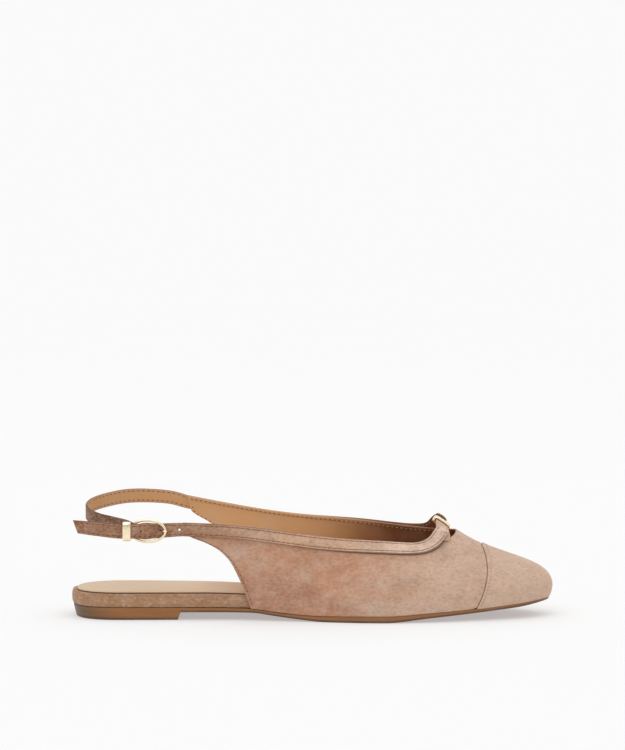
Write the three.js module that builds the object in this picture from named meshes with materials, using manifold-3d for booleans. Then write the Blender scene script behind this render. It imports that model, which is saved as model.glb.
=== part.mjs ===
// Sling back flat, right shoe: unit sole, wrapped footbed with its sock, hollow suede upper with a toe
// cap, topline bands that run on as the heel strap, a buckle at the outer side, a keeper at the throat.
// Millimetres. +X runs to the toe, +Y to the inner side of the foot, +Z up. The origin is on the floor
// under the middle of the heel.

import * as THREE from 'three';
import { mergeVertices } from 'three/addons/utils/BufferGeometryUtils.js';
import Module from 'manifold-3d';

const wasm = await Module();
wasm.setup();

// Driving dimensions of the last

const LAST_LENGTH = 251;
const HEEL_SEAT_WIDTH = 55;
const WAIST_WIDTH = 49;
const BALL_WIDTH = 73;
const TOE_WIDTH = 45;
const LATERAL_COLLAR = 52;
const MEDIAL_COLLAR = 60.2;
const THROAT_HEIGHT = 43.2;

// Driving dimensions of sole and footbed

const HEEL_LENGTH = 57;
const HEEL_FRONT_SLOPE = 1.5;
const WAIST_RISE = 4.1;
const TOE_SPRING = 8.6;
const SOLE_EDGE = 2.5;
const SOLE_CHAMFER = 0.7;
const SOLE_MARGIN = 1.7;
const HEEL_INSET = 1;
const HEEL_TAPER = 1.5;
const FOOTBED_HEEL = 6.9;
const FOOTBED_FOREPART = 4.2;
const FOOTBED_ROUND = 1.1;
const SOCK_THICKNESS = 1;
const SOCK_RIM = 3;
const SOCK_FRONT_RIM = 1.7;

// Driving dimensions of upper, bands and straps

const UPPER_WALL = 2;
const CAP_BACKING = 0.8;
const CAP_STEP = 0.3;
const BAND_WIDTH = 7;
const BUCKLE_STRAP_WIDTH = 7.6;
const TAB_END_WIDTH = 6.6;
const SLING_WIDTH = 7.5;
const SLING_END_WIDTH = 6;
const CROSS_STRAP_WIDTH = 7.6;
const STRAP_THICKNESS = 1.2;
const TAB_LENGTH = 31;
const TAB_RISE = 2.4;
const TAB_SLANT = 3.3;
const HOLE_DIAMETER = 1.8;
const HOLE_PITCH = 10;
const SLING_EYE_WALL = 0.9;

// Driving dimensions of the metal parts

const BUCKLE_LENGTH = 17.3;
const BUCKLE_HEIGHT = 12.7;
const BUCKLE_TILT = 2;
const WIRE_DIAMETER = 1.5;
const PRONG_DIAMETER = 0.9;
const KEEPER_LENGTH = 4.2;
const KEEPER_WALL = 0.8;
const THROAT_KEEPER_LENGTH = 4.6;

// Place of the throat keeper's middle, as a share of the cross strap's length from its outer end
const THROAT_KEEPER_PLACE = 0.41;

// Place of the buckle's bar: along is a share of LAST_LENGTH, across of HEEL_SEAT_WIDTH and high of
// LATERAL_COLLAR

const BUCKLE_BAR = { along: 0.14, across: -0.556, high: 0.917 };

// Air between neighbouring pieces

const CLEARANCE = 0.3;

// The last's bottom: half widths on both sides, as shares of the width that each section follows.
// along is a share of LAST_LENGTH from the back of the heel.

const LAST_OUTLINE = [
  { along: 0, of: HEEL_SEAT_WIDTH, lateral: 0.5, medial: 0.5 },
  { along: 0.239, of: WAIST_WIDTH, lateral: 0.541, medial: 0.53 },
  { along: 0.378, of: WAIST_WIDTH, lateral: 0.541, medial: 0.459 },
  { along: 0.438, of: WAIST_WIDTH, lateral: 0.571, medial: 0.484 },
  { along: 0.538, of: BALL_WIDTH, lateral: 0.445, medial: 0.4 },
  { along: 0.618, of: BALL_WIDTH, lateral: 0.493, medial: 0.475 },
  { along: 0.677, of: BALL_WIDTH, lateral: 0.497, medial: 0.503 },
  { along: 0.737, of: BALL_WIDTH, lateral: 0.473, medial: 0.5 },
  { along: 0.797, of: BALL_WIDTH, lateral: 0.425, medial: 0.462 },
  { along: 0.857, of: BALL_WIDTH, lateral: 0.363, medial: 0.404 },
  { along: 0.916, of: TOE_WIDTH, lateral: 0.475, medial: 0.54 },
  { along: 0.956, of: TOE_WIDTH, lateral: 0.388, medial: 0.448 },
  { along: 1, of: TOE_WIDTH, lateral: 0.27, medial: 0.32 },
];
const HEEL_ROUND = 2.25;
const TOE_ROUND = 2.4;
const TOE_ROUND_FROM = 0.92;

// Side view of the sole: rise follows WAIST_RISE, spring TOE_SPRING and edge SOLE_EDGE, bed runs from
// the footbed's heel thickness at 1 to its forepart thickness at 0.

const SOLE_LINE = [
  { along: 0, rise: 1, spring: 0, edge: 1, bed: 1 },
  { along: 0.28, rise: 1, spring: 0, edge: 1, bed: 1 },
  { along: 0.378, rise: 0.99, spring: 0, edge: 0.86, bed: 0.88 },
  { along: 0.43, rise: 0.64, spring: 0, edge: 0.82, bed: 0.68 },
  { along: 0.486, rise: 0.24, spring: 0, edge: 0.96, bed: 0.45 },
  { along: 0.538, rise: 0, spring: 0, edge: 1.2, bed: 0.22 },
  { along: 0.657, rise: 0, spring: 0, edge: 1.36, bed: 0 },
  { along: 0.745, rise: 0, spring: 0.24, edge: 1.08, bed: 0 },
  { along: 0.813, rise: 0, spring: 0.41, edge: 0.92, bed: 0 },
  { along: 0.884, rise: 0, spring: 0.59, edge: 0.92, bed: 0 },
  { along: 0.936, rise: 0, spring: 0.73, edge: 1, bed: -0.1 },
  { along: 1, rise: 0, spring: 1, edge: 0.8, bed: -0.3 },
];

// Ribs of the upper, alike on both sides. Each runs from the last's edge at foot up to the topline at
// top, both shares of LAST_LENGTH. rise and fall are shares of the rib's height, run a share of its depth
// in plan and bulge a share of BALL_WIDTH. They place the two handles of the rib's curve.

const RIBS = [
  { foot: 0.239, top: 0.239, rise: 0.33, bulge: 0.014, run: 0.1, fall: 0.33 },
  { foot: 0.378, top: 0.371, rise: 0.33, bulge: 0.02, run: 0.2, fall: 0.33 },
  { foot: 0.498, top: 0.49, rise: 0.33, bulge: 0.027, run: 0.4, fall: 0.33 },
  { foot: 0.598, top: 0.59, rise: 0.35, bulge: 0.034, run: 0.5, fall: 0.33 },
  { foot: 0.677, top: 0.665, rise: 0.38, bulge: 0.041, run: 0.55, fall: 0.33 },
  { foot: 0.749, top: 0.715, rise: 0.42, bulge: 0.048, run: 0.55, fall: 0.35 },
  { foot: 0.817, top: 0.749, rise: 0.46, bulge: 0.062, run: 0.52, fall: 0.4 },
  { foot: 0.884, top: 0.779, rise: 0.5, bulge: 0.082, run: 0.5, fall: 0.45 },
  { foot: 0.948, top: 0.799, rise: 0.53, bulge: 0.103, run: 0.5, fall: 0.5 },
];
const TOE_RIB = { top: 0.807, rise: 0.55, bulge: 0.115, run: 0.495, fall: 0.516 };
const THROAT_MIDDLE = 0.041;

// Topline of each side, a row for each rib: half is its distance from the middle as a share of
// BALL_WIDTH, high its height as a share of the size in of.

const LATERAL_TOPLINE = [
  { half: 0.397, of: LATERAL_COLLAR, high: 1 },
  { half: 0.392, of: LATERAL_COLLAR, high: 0.963 },
  { half: 0.373, of: LATERAL_COLLAR, high: 0.875 },
  { half: 0.345, of: LATERAL_COLLAR, high: 0.804 },
  { half: 0.31, of: THROAT_HEIGHT, high: 0.921 },
  { half: 0.255, of: THROAT_HEIGHT, high: 0.884 },
  { half: 0.214, of: THROAT_HEIGHT, high: 0.9 },
  { half: 0.181, of: THROAT_HEIGHT, high: 0.921 },
  { half: 0.11, of: THROAT_HEIGHT, high: 0.963 },
];

const MEDIAL_TOPLINE = [
  { half: 0.397, of: MEDIAL_COLLAR, high: 1 },
  { half: 0.392, of: MEDIAL_COLLAR, high: 0.9 },
  { half: 0.378, of: MEDIAL_COLLAR, high: 0.832 },
  { half: 0.351, of: MEDIAL_COLLAR, high: 0.791 },
  { half: 0.312, of: THROAT_HEIGHT, high: 1.046 },
  { half: 0.281, of: THROAT_HEIGHT, high: 1.014 },
  { half: 0.26, of: THROAT_HEIGHT, high: 1 },
  { half: 0.236, of: THROAT_HEIGHT, high: 0.986 },
  { half: 0.175, of: THROAT_HEIGHT, high: 0.991 },
];

// Rear edge of both quarters: at is a share of the rib's curve from feather line to topline, foot the
// rib that the edge has reached there.

const QUARTER_EDGE = [
  { at: 0, foot: 0.38 },
  { at: 0.34, foot: 0.359 },
  { at: 0.545, foot: 0.341 },
  { at: 0.69, foot: 0.316 },
  { at: 0.77, foot: 0.287 },
  { at: 0.85, foot: 0.25 },
  { at: 1, foot: 0.239 },
];

// Plan of the sole and of the sock against the last's edge: out is how far the sole stands out past it,
// in how far the sock stays inside it.

const SOLE_PLAN = [
  { along: 0, out: -HEEL_INSET },
  { along: 0.311, out: -HEEL_INSET },
  { along: 0.44, out: SOLE_MARGIN },
];

const SOCK_PLAN = [
  { along: 0, in: SOCK_RIM },
  { along: 0.36, in: SOCK_RIM },
  { along: 0.44, in: SOCK_FRONT_RIM },
];

// Seam of the toe cap: a curve from foot over bow to top, as shares of LAST_LENGTH, with the heights of
// bow and top as shares of THROAT_HEIGHT.

const CAP_SEAM = { foot: 0.838, bow: 0.896, bowHigh: 0.6, top: 0.858, topHigh: 0.93 };

// Courses of the bands and of the cross strap over the upper. round is the rib, drop the distance below
// the rim, above it where negative, as a share of the strip's width, and lift the number of strip layers
// that lie under it.

const LATERAL_BAND = [
  { round: -0.288, drop: -0.84, lift: 0.8 },
  { round: -0.328, drop: -0.66, lift: 1.05 },
  { round: -0.375, drop: -0.33, lift: 1.16 },
  { round: -0.432, drop: 0.14, lift: 0.75 },
  { round: -0.488, drop: 0.4, lift: 0.2 },
  { round: -0.546, drop: 0.48, lift: 0 },
  { round: -0.62, drop: 0.5, lift: 0 },
  { round: -0.8, drop: 0.5, lift: 0 },
  { round: -1, drop: 0.5, lift: 0 },
];

const MEDIAL_BAND = [
  { round: 0.272, drop: -0.98, lift: 0.8 },
  { round: 0.315, drop: -0.8, lift: 1.1 },
  { round: 0.368, drop: -0.45, lift: 1.26 },
  { round: 0.432, drop: 0.14, lift: 0.75 },
  { round: 0.488, drop: 0.4, lift: 0.2 },
  { round: 0.546, drop: 0.48, lift: 0 },
  { round: 0.62, drop: 0.5, lift: 0 },
  { round: 0.8, drop: 0.5, lift: 0 },
  { round: 1, drop: 0.5, lift: 0 },
];

const CROSS_STRAP = [
  { round: -0.362, drop: 0.02, lift: 0.08 },
  { round: -0.335, drop: -0.3, lift: 0.04 },
  { round: -0.305, drop: -0.6, lift: -0.3 },
  { round: -0.241, drop: -0.95, lift: -0.9 },
  { round: -0.15, drop: -1.14, lift: -1.3 },
  { round: 0, drop: -1.18, lift: -1.5 },
  { round: 0.131, drop: -1.18, lift: -1.4 },
  { round: 0.228, drop: -1.05, lift: -1 },
  { round: 0.302, drop: -0.7, lift: -0.4 },
  { round: 0.335, drop: -0.36, lift: 0.04 },
  { round: 0.362, drop: 0, lift: 0.08 },
];

// Course of the sling from the inner quarter round the heel to the buckle: along is a share of
// LAST_LENGTH, across of HEEL_SEAT_WIDTH and high of MEDIAL_COLLAR.

const SLING = [
  { along: 0.207, across: 0.567, high: 0.978 },
  { along: 0.159, across: 0.542, high: 0.998 },
  { along: 0.112, across: 0.473, high: 1 },
  { along: 0.072, across: 0.355, high: 0.978 },
  { along: 0.044, across: 0.191, high: 0.952 },
  { along: 0.033, across: 0, high: 0.92 },
  { along: 0.041, across: -0.191, high: 0.89 },
  { along: 0.064, across: -0.364, high: 0.867 },
  { along: 0.096, across: -0.484, high: 0.85 },
  { along: 0.1235, across: -0.544, high: 0.829 },
];

// Grid of the surfaces

const RIB_COLUMNS = 60;
const RIB_ROWS = 15;
const SIDE_STEPS = 40;
const STRIP_FACETS = 3;
const BAND_STEP = 5;
const STRAP_STEP = 3.6;
const WIRE_SIDES = 8;

// Curves through tables

function steadyCurve(rows, at, value) {
  const x = rows.map(at);
  const y = rows.map(value);
  const last = x.length - 1;
  const slope = x.slice(1).map((end, i) => (y[i + 1] - y[i]) / (end - x[i]));
  const tangent = y.map((_, i) => {
    if (i === 0 || i === last) return slope[Math.min(i, last - 1)];
    if (slope[i - 1] * slope[i] <= 0) return 0;
    return 2 / (1 / slope[i - 1] + 1 / slope[i]);
  });
  return (place) => {
    const p = Math.min(Math.max(place, x[0]), x[last]);
    let i = 0;
    while (i < last - 1 && p > x[i + 1]) i += 1;
    const width = x[i + 1] - x[i];
    const t = (p - x[i]) / width;
    const lift = (1 + 2 * t) * (1 - t) ** 2 * y[i] + t * t * (3 - 2 * t) * y[i + 1];
    return lift + width * t * (1 - t) * ((1 - t) * tangent[i] - t * tangent[i + 1]);
  };
}

function fairCurve(rows, at, value) {
  const x = rows.map(at);
  const y = rows.map(value);
  const last = x.length - 1;
  const bend = new Array(last + 1).fill(0);
  const carry = new Array(last + 1).fill(0);
  for (let i = 1; i < last; i += 1) {
    const share = (x[i] - x[i - 1]) / (x[i + 1] - x[i - 1]);
    const pivot = share * bend[i - 1] + 2;
    const turn = (y[i + 1] - y[i]) / (x[i + 1] - x[i]) - (y[i] - y[i - 1]) / (x[i] - x[i - 1]);
    bend[i] = (share - 1) / pivot;
    carry[i] = ((6 * turn) / (x[i + 1] - x[i - 1]) - share * carry[i - 1]) / pivot;
  }
  bend[last] = 0;
  for (let i = last - 1; i >= 0; i -= 1) bend[i] = bend[i] * bend[i + 1] + carry[i];
  return (place) => {
    const p = Math.min(Math.max(place, x[0]), x[last]);
    let i = 0;
    while (i < last - 1 && p > x[i + 1]) i += 1;
    const width = x[i + 1] - x[i];
    const b = (p - x[i]) / width;
    const a = 1 - b;
    const sag = (a ** 3 - a) * bend[i] + (b ** 3 - b) * bend[i + 1];
    return a * y[i] + b * y[i + 1] + (sag * width * width) / 6;
  };
}

// Lengths and heights of the last

const heelCentre = HEEL_SEAT_WIDTH / 2;
const alongOf = (row) => row.along;
const xAt = (along) => along * LAST_LENGTH - heelCentre;
const lateralHalf = fairCurve(LAST_OUTLINE, alongOf, (row) => row.lateral * row.of);
const medialHalf = fairCurve(LAST_OUTLINE, alongOf, (row) => row.medial * row.of);
const groundOf = (row) => row.rise * WAIST_RISE + row.spring * TOE_SPRING;
const groundLine = steadyCurve(SOLE_LINE, alongOf, groundOf);
const edgeHeight = steadyCurve(SOLE_LINE, alongOf, (row) => row.edge * SOLE_EDGE);
const bedHeight = steadyCurve(
  SOLE_LINE,
  alongOf,
  (row) => FOOTBED_FOREPART + row.bed * (FOOTBED_HEEL - FOOTBED_FOREPART),
);
const featherLine = (along) => groundLine(along) + edgeHeight(along);
const bedTop = (along) => featherLine(along) + CLEARANCE + bedHeight(along);

// side is -1 on the outer side of the foot and 1 on the inner side
function halfWidth(side, along) {
  const half = side < 0 ? lateralHalf(along) : medialHalf(along);
  const heelShare = heelCentre / LAST_LENGTH;
  const back = Math.max(0, 1 - along / heelShare);
  const front = Math.max(0, (along - TOE_ROUND_FROM) / (1 - TOE_ROUND_FROM));
  const heelFactor = (1 - Math.min(back, 1) ** HEEL_ROUND) ** (1 / HEEL_ROUND);
  const toeFactor = (1 - Math.min(front, 1) ** TOE_ROUND) ** (1 / TOE_ROUND);
  return half * heelFactor * toeFactor;
}

const outlinePoint = (side, along) => new THREE.Vector3(xAt(along), side * halfWidth(side, along), 0);

function outlineNormal(side, along) {
  const step = 0.002;
  const from = outlinePoint(side, Math.max(along - step, 0));
  const to = outlinePoint(side, Math.min(along + step, 1));
  if (along <= step / 2) return new THREE.Vector3(-1, 0, 0);
  if (along >= 1 - step / 2) return new THREE.Vector3(1, 0, 0);
  return new THREE.Vector3(side * -(to.y - from.y), side * (to.x - from.x), 0).normalize();
}

// The upper's inner surface. round runs from -1 at the outer quarter over 0 at the toe to 1 at the
// inner quarter, up from 0 at the feather line to 1 at the topline.

const REAR_RIB = RIBS[0].foot;
const roundOf = (foot) => 1 - (2 / Math.PI) * Math.asin(Math.min((foot - REAR_RIB) / (1 - REAR_RIB), 1));
const footOf = (round) => REAR_RIB + (1 - REAR_RIB) * Math.sin((Math.PI / 2) * (1 - Math.abs(round)));

const toeRib = { ...TOE_RIB, round: 0, across: THROAT_MIDDLE, height: THROAT_HEIGHT };
const sideRibs = (side, topline) => RIBS.map((row, i) => ({
  ...row,
  round: side * roundOf(row.foot),
  across: side * topline[i].half,
  height: topline[i].of * topline[i].high,
}));
const ribs = [
  ...sideRibs(-1, LATERAL_TOPLINE),
  toeRib,
  ...sideRibs(1, MEDIAL_TOPLINE).reverse(),
];
const ribCurve = (value) => fairCurve(ribs, (row) => row.round, value);
const topX = ribCurve((row) => xAt(row.top));
const topY = ribCurve((row) => row.across * BALL_WIDTH);
const topZ = ribCurve((row) => row.height);
const ribRise = ribCurve((row) => row.rise);
const ribBulge = ribCurve((row) => row.bulge * BALL_WIDTH);
const ribRun = ribCurve((row) => row.run);
const ribFall = ribCurve((row) => row.fall);

function ribAt(round) {
  const side = round < 0 ? -1 : 1;
  const foot = footOf(round);
  const low = outlinePoint(side, foot).setZ(featherLine(foot) + CLEARANCE);
  const high = new THREE.Vector3(topX(round), topY(round), topZ(round));
  const height = high.z - low.z;
  const lowHandle = low.clone().addScaledVector(outlineNormal(side, foot), ribBulge(round));
  lowHandle.z += ribRise(round) * height;
  const highHandle = high.clone().lerp(low, ribRun(round));
  highHandle.z = high.z - ribFall(round) * height;
  return new THREE.CubicBezierCurve3(low, lowHandle, highHandle, high);
}

const lastPoint = (round, up) => ribAt(round).getPoint(up);

function lastNormal(round, up) {
  const step = 0.004;
  const alongRib = lastPoint(round, up + step).sub(lastPoint(round, up - step));
  const aroundLast = lastPoint(round + step, up).sub(lastPoint(round - step, up));
  return aroundLast.cross(alongRib).normalize();
}

const quarterEdge = steadyCurve(QUARTER_EDGE, (row) => row.at, (row) => roundOf(row.foot));

// Closed solids from grids

function outwardSolid(positions, index) {
  const geometry = new THREE.BufferGeometry();
  const numbers = positions.flatMap((p) => p.toArray());
  geometry.setAttribute('position', new THREE.Float32BufferAttribute(numbers, 3));
  let volume = 0;
  for (let i = 0; i < index.length; i += 3) {
    const [a, b, c] = [positions[index[i]], positions[index[i + 1]], positions[index[i + 2]]];
    volume += a.dot(b.clone().cross(c));
  }
  geometry.setIndex(volume > 0 ? index : index.slice().reverse());
  return geometry;
}

// Two sheets of points, rows of equal length, joined round their edge
function sheetSolid(inner, outer) {
  const rows = inner.length;
  const columns = inner[0].length;
  const positions = [...inner.flat(), ...outer.flat()];
  const index = [];
  const last = columns - 1;
  const at = (sheet, i, j) => (sheet * rows + i) * columns + j;
  const quad = (a, b, c, d) => index.push(a, b, c, a, c, d);
  for (let i = 0; i < rows - 1; i += 1) {
    for (let j = 0; j < last; j += 1) {
      quad(at(1, i, j), at(1, i + 1, j), at(1, i + 1, j + 1), at(1, i, j + 1));
      quad(at(0, i, j), at(0, i, j + 1), at(0, i + 1, j + 1), at(0, i + 1, j));
    }
    quad(at(0, i, 0), at(0, i + 1, 0), at(1, i + 1, 0), at(1, i, 0));
    quad(at(0, i + 1, last), at(0, i, last), at(1, i, last), at(1, i + 1, last));
  }
  for (let j = 0; j < last; j += 1) {
    quad(at(0, 0, j + 1), at(0, 0, j), at(1, 0, j), at(1, 0, j + 1));
    quad(at(0, rows - 1, j), at(0, rows - 1, j + 1), at(1, rows - 1, j + 1), at(1, rows - 1, j));
  }
  return outwardSolid(positions, index);
}

const stationSolid = (stations) => sheetSolid(stations.map((s) => s.inner), stations.map((s) => s.outer));

// Levels of the last's outline, stacked from below. A level gives the inset and height at each place.
function outlineSolid(places, levels) {
  const steps = places.length - 1;
  const positions = [];
  for (const level of levels) {
    const point = (side, along) => {
      const inset = outlineNormal(side, along).multiplyScalar(-level.inset(along));
      return outlinePoint(side, along).add(inset).setZ(level.height(along));
    };
    for (let i = 0; i <= steps; i += 1) positions.push(point(-1, places[i]));
    for (let i = steps - 1; i > 0; i -= 1) positions.push(point(1, places[i]));
  }
  const loop = 2 * steps;
  const index = [];
  for (let n = 0; n < levels.length - 1; n += 1) {
    for (let i = 0; i < loop; i += 1) {
      const [a, b] = [n * loop + i, n * loop + ((i + 1) % loop)];
      index.push(a, b + loop, b, a, a + loop, b + loop);
    }
  }
  const cap = (start, flip) => {
    for (let i = 0; i < steps; i += 1) {
      const [a, b] = [start + i, start + i + 1];
      const [c, d] = [start + ((loop - i) % loop), start + ((loop - i - 1) % loop)];
      const faces = [[a, b, d], [a, d, c]].filter(([p, q, r]) => p !== q && q !== r && p !== r);
      for (const [p, q, r] of faces) index.push(...(flip ? [p, r, q] : [p, q, r]));
    }
  };
  cap(0, false);
  cap((levels.length - 1) * loop, true);
  return outwardSolid(positions, index);
}

// Joins and cuts

function toManifold(geometry) {
  const bare = geometry.clone();
  bare.deleteAttribute('normal');
  bare.deleteAttribute('uv');
  const merged = mergeVertices(bare, 1e-4);
  const vertProperties = new Float32Array(merged.attributes.position.array);
  const triVerts = new Uint32Array(merged.index.array);
  return new wasm.Manifold(new wasm.Mesh({ numProp: 3, vertProperties, triVerts }));
}

function toGeometry(manifold) {
  const mesh = manifold.getMesh();
  const geometry = new THREE.BufferGeometry();
  geometry.setAttribute('position', new THREE.BufferAttribute(new Float32Array(mesh.vertProperties), 3));
  geometry.setIndex(new THREE.BufferAttribute(new Uint32Array(mesh.triVerts), 1));
  return geometry;
}

// Outsole: the strip under the whole last, with the heel block reaching the floor

function outlinePlaces(breaks) {
  const turn = Math.PI / SIDE_STEPS;
  const even = Array.from({ length: SIDE_STEPS + 1 }, (_, i) => (1 - Math.cos(turn * i)) / 2);
  const keep = even.filter((place) => breaks.every((at) => Math.abs(at - place) > 0.4 / SIDE_STEPS));
  return [...keep, ...breaks].sort((a, b) => a - b);
}

function outsole() {
  const heelFront = HEEL_LENGTH / LAST_LENGTH;
  const stripStart = (HEEL_LENGTH + HEEL_FRONT_SLOPE) / LAST_LENGTH;
  const ballFlat = SOLE_LINE.filter((row) => row.rise === 0 && row.spring === 0).map(alongOf);
  const inHeel = (along) => along <= heelFront + 1e-6;
  const floor = (along) => (inHeel(along) ? 0 : groundLine(along));
  const stripEdge = steadyCurve(SOLE_PLAN, alongOf, (row) => -row.out);
  const side = (along) => (inHeel(along) ? HEEL_INSET : stripEdge(along));
  const foot = (along) => (inHeel(along) ? HEEL_INSET + HEEL_TAPER : stripEdge(along));
  return outlineSolid(outlinePlaces([heelFront, stripStart, ...ballFlat]), [
    { inset: (along) => foot(along) + SOLE_CHAMFER, height: floor },
    { inset: foot, height: (along) => floor(along) + SOLE_CHAMFER },
    { inset: side, height: featherLine },
  ]);
}

// Footbed: the board with its wrap, rounded round the side

function footbed() {
  const bottom = (along) => featherLine(along) + CLEARANCE;
  const depth = (share) => (along) => bottom(along) + share * bedHeight(along);
  return outlineSolid(outlinePlaces([]), [
    { inset: () => CLEARANCE + FOOTBED_ROUND, height: bottom },
    { inset: () => CLEARANCE + FOOTBED_ROUND * 0.3, height: depth(0.22) },
    { inset: () => CLEARANCE, height: depth(0.55) },
    { inset: () => CLEARANCE + FOOTBED_ROUND * 0.3, height: depth(0.84) },
    { inset: () => CLEARANCE + FOOTBED_ROUND, height: bedTop },
  ]);
}

function sockLining() {
  const rim = steadyCurve(SOCK_PLAN, alongOf, (row) => row.in);
  const bottom = (along) => bedTop(along) + CLEARANCE;
  return outlineSolid(outlinePlaces([]), [
    { inset: rim, height: bottom },
    { inset: rim, height: (along) => bottom(along) + SOCK_THICKNESS },
  ]);
}

// Upper: one wall between the last's surface and the same surface moved out

function wallPoint(round, up, depth) {
  const normal = lastNormal(round, up);
  if (up <= 0) normal.setZ(0).normalize();
  return lastPoint(round, up).addScaledVector(normal, depth);
}

function wallSolid(from, to, low, inside, outside) {
  const columns = Math.round((RIB_COLUMNS * (to - from)) / 2);
  const sheet = (depth) => Array.from({ length: columns + 1 }, (_, i) => {
    const column = from + ((to - from) * i) / columns;
    return Array.from({ length: RIB_ROWS + 1 }, (__, j) => {
      const up = low + ((1 - low) * j) / RIB_ROWS;
      const pull = (1 - quarterEdge(up)) * Math.abs(column) ** 3;
      return wallPoint(column * (1 - pull), up, depth);
    });
  });
  return sheetSolid(sheet(inside), sheet(outside));
}

// Toe cap: let into the upper's wall in front of the seam, which bows forward between throat and sole

function capZone(setBack) {
  const seam = (share) => xAt(share) + setBack;
  const shape = new THREE.Shape();
  const high = THROAT_HEIGHT * 1.2;
  const [bowZ, topZone] = [CAP_SEAM.bowHigh, CAP_SEAM.topHigh].map((share) => share * THROAT_HEIGHT);
  shape.moveTo(seam(CAP_SEAM.foot), -UPPER_WALL);
  shape.lineTo(seam(CAP_SEAM.foot), 0);
  shape.quadraticCurveTo(seam(CAP_SEAM.bow), bowZ, seam(CAP_SEAM.top), topZone);
  shape.lineTo(seam(CAP_SEAM.top), high);
  shape.lineTo(seam(1.1), high);
  shape.lineTo(seam(1.1), -UPPER_WALL);
  shape.closePath();
  const depth = BALL_WIDTH * 1.6;
  const zone = new THREE.ExtrudeGeometry(shape, { depth, bevelEnabled: false, curveSegments: 14 });
  return toManifold(zone.rotateX(Math.PI / 2).translate(0, depth / 2, 0));
}

const CAP_END_RIB = 0.52;
const bedding = CAP_BACKING + CLEARANCE;

function upper() {
  const wall = toManifold(wallSolid(-1, 1, 0, 0, UPPER_WALL));
  const seat = toManifold(wallSolid(-CAP_END_RIB, CAP_END_RIB, -0.04, CAP_BACKING, UPPER_WALL * 2));
  return toGeometry(wall.subtract(seat.intersect(capZone(0))));
}

function toeCap() {
  const leather = toManifold(wallSolid(-CAP_END_RIB, CAP_END_RIB, 0, bedding, UPPER_WALL + CAP_STEP));
  return toGeometry(leather.intersect(capZone(CLEARANCE)));
}

// Strips that lie on the upper. A course gives places on the surface, and a station holds the points
// across the strip on its inner and outer face.

function onUpper(round, drop) {
  const rib = ribAt(round);
  rib.arcLengthDivisions = 30;
  if (drop > 0) return rib.getPointAt(1 - drop / rib.getLength());
  return rib.getPoint(1).addScaledVector(rib.getTangent(1), -drop);
}

function upperNormal(round, drop) {
  const step = 0.004;
  const aroundLast = onUpper(round + step, drop).sub(onUpper(round - step, drop));
  const alongRib = onUpper(round, drop - CLEARANCE).sub(onUpper(round, drop + CLEARANCE));
  return aroundLast.cross(alongRib).normalize();
}

const lifted = (round, drop, lift) => onUpper(round, drop).addScaledVector(upperNormal(round, drop), lift);
const layer = STRAP_THICKNESS + CLEARANCE;

function surfaceCourse(rows, width) {
  const indexed = rows.map((row, i) => ({ ...row, i }));
  const column = (value) => fairCurve(indexed, (row) => row.i, value);
  const round = column((row) => row.round);
  const drop = column((row) => row.drop * width);
  const lift = column((row) => UPPER_WALL + CLEARANCE + row.lift * layer);
  const end = rows.length - 1;
  const samples = 30 * end;
  const centres = Array.from({ length: samples + 1 }, (_, i) => {
    const t = (end * i) / samples;
    return lifted(round(t), drop(t), lift(t));
  });
  const reach = [0];
  for (let i = 1; i <= samples; i += 1) reach.push(reach[i - 1] + centres[i].distanceTo(centres[i - 1]));
  const timeAt = (distance) => {
    let i = 1;
    while (i < samples && reach[i] < distance) i += 1;
    const share = (distance - reach[i - 1]) / (reach[i] - reach[i - 1]);
    return (end * (i - 1 + share)) / samples;
  };
  return { round, drop, lift, end, length: reach[samples], timeAt };
}

function surfaceStation(course, distance, width) {
  const t = course.timeAt(distance);
  const at = (u) => lifted(course.round(u), course.drop(u), course.lift(u));
  const forward = at(Math.min(t + 0.02, course.end)).sub(at(Math.max(t - 0.02, 0)));
  const [round, drop, lift] = [course.round(t), course.drop(t), course.lift(t)];
  const alongRound = onUpper(round + 0.002, drop).sub(onUpper(round - 0.002, drop)).divideScalar(0.004);
  const alongDrop = onUpper(round, drop + 0.1).sub(onUpper(round, drop - 0.1)).divideScalar(0.2);
  const across = upperNormal(round, drop).cross(forward).normalize();
  if (across.dot(alongDrop) > 0) across.negate();
  const [rr, rd, dd] = [alongRound.dot(alongRound), alongRound.dot(alongDrop), alongDrop.dot(alongDrop)];
  const [br, bd] = [across.dot(alongRound), across.dot(alongDrop)];
  const det = rr * dd - rd * rd;
  const turn = (br * dd - bd * rd) / det;
  const fall = (bd * rr - br * rd) / det;
  const face = (depth) => Array.from({ length: STRIP_FACETS + 1 }, (_, k) => {
    const out = width * (0.5 - k / STRIP_FACETS);
    return lifted(round + turn * out, drop + fall * out, lift + depth);
  });
  return { inner: face(0), outer: face(STRAP_THICKNESS) };
}

const roundedWidth = (width, distance) => {
  const radius = width / 2;
  return width * Math.sqrt(1 - (1 - Math.min(distance / radius, 1)) ** 2);
};

const evenSteps = (from, to, step) => {
  const count = Math.ceil((to - from) / step);
  return Array.from({ length: count + 1 }, (_, i) => from + ((to - from) * i) / count);
};

// A band's stations from its rounded end at the throat to the back of the quarter
function bandStations(rows) {
  const course = surfaceCourse(rows, BAND_WIDTH);
  const nose = [0.04, 0.16, 0.32, 0.55].map((share) => share * BAND_WIDTH);
  return [...nose, ...evenSteps(BAND_WIDTH, course.length, BAND_STEP)].map((distance) => (
    surfaceStation(course, distance, roundedWidth(BAND_WIDTH, distance))
  ));
}

// Straps that hang free run on from the last station of a band, their width upright

function centreOf(station) {
  const points = [...station.inner, ...station.outer];
  return points.reduce((sum, point) => sum.add(point), new THREE.Vector3()).divideScalar(points.length);
}

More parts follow.
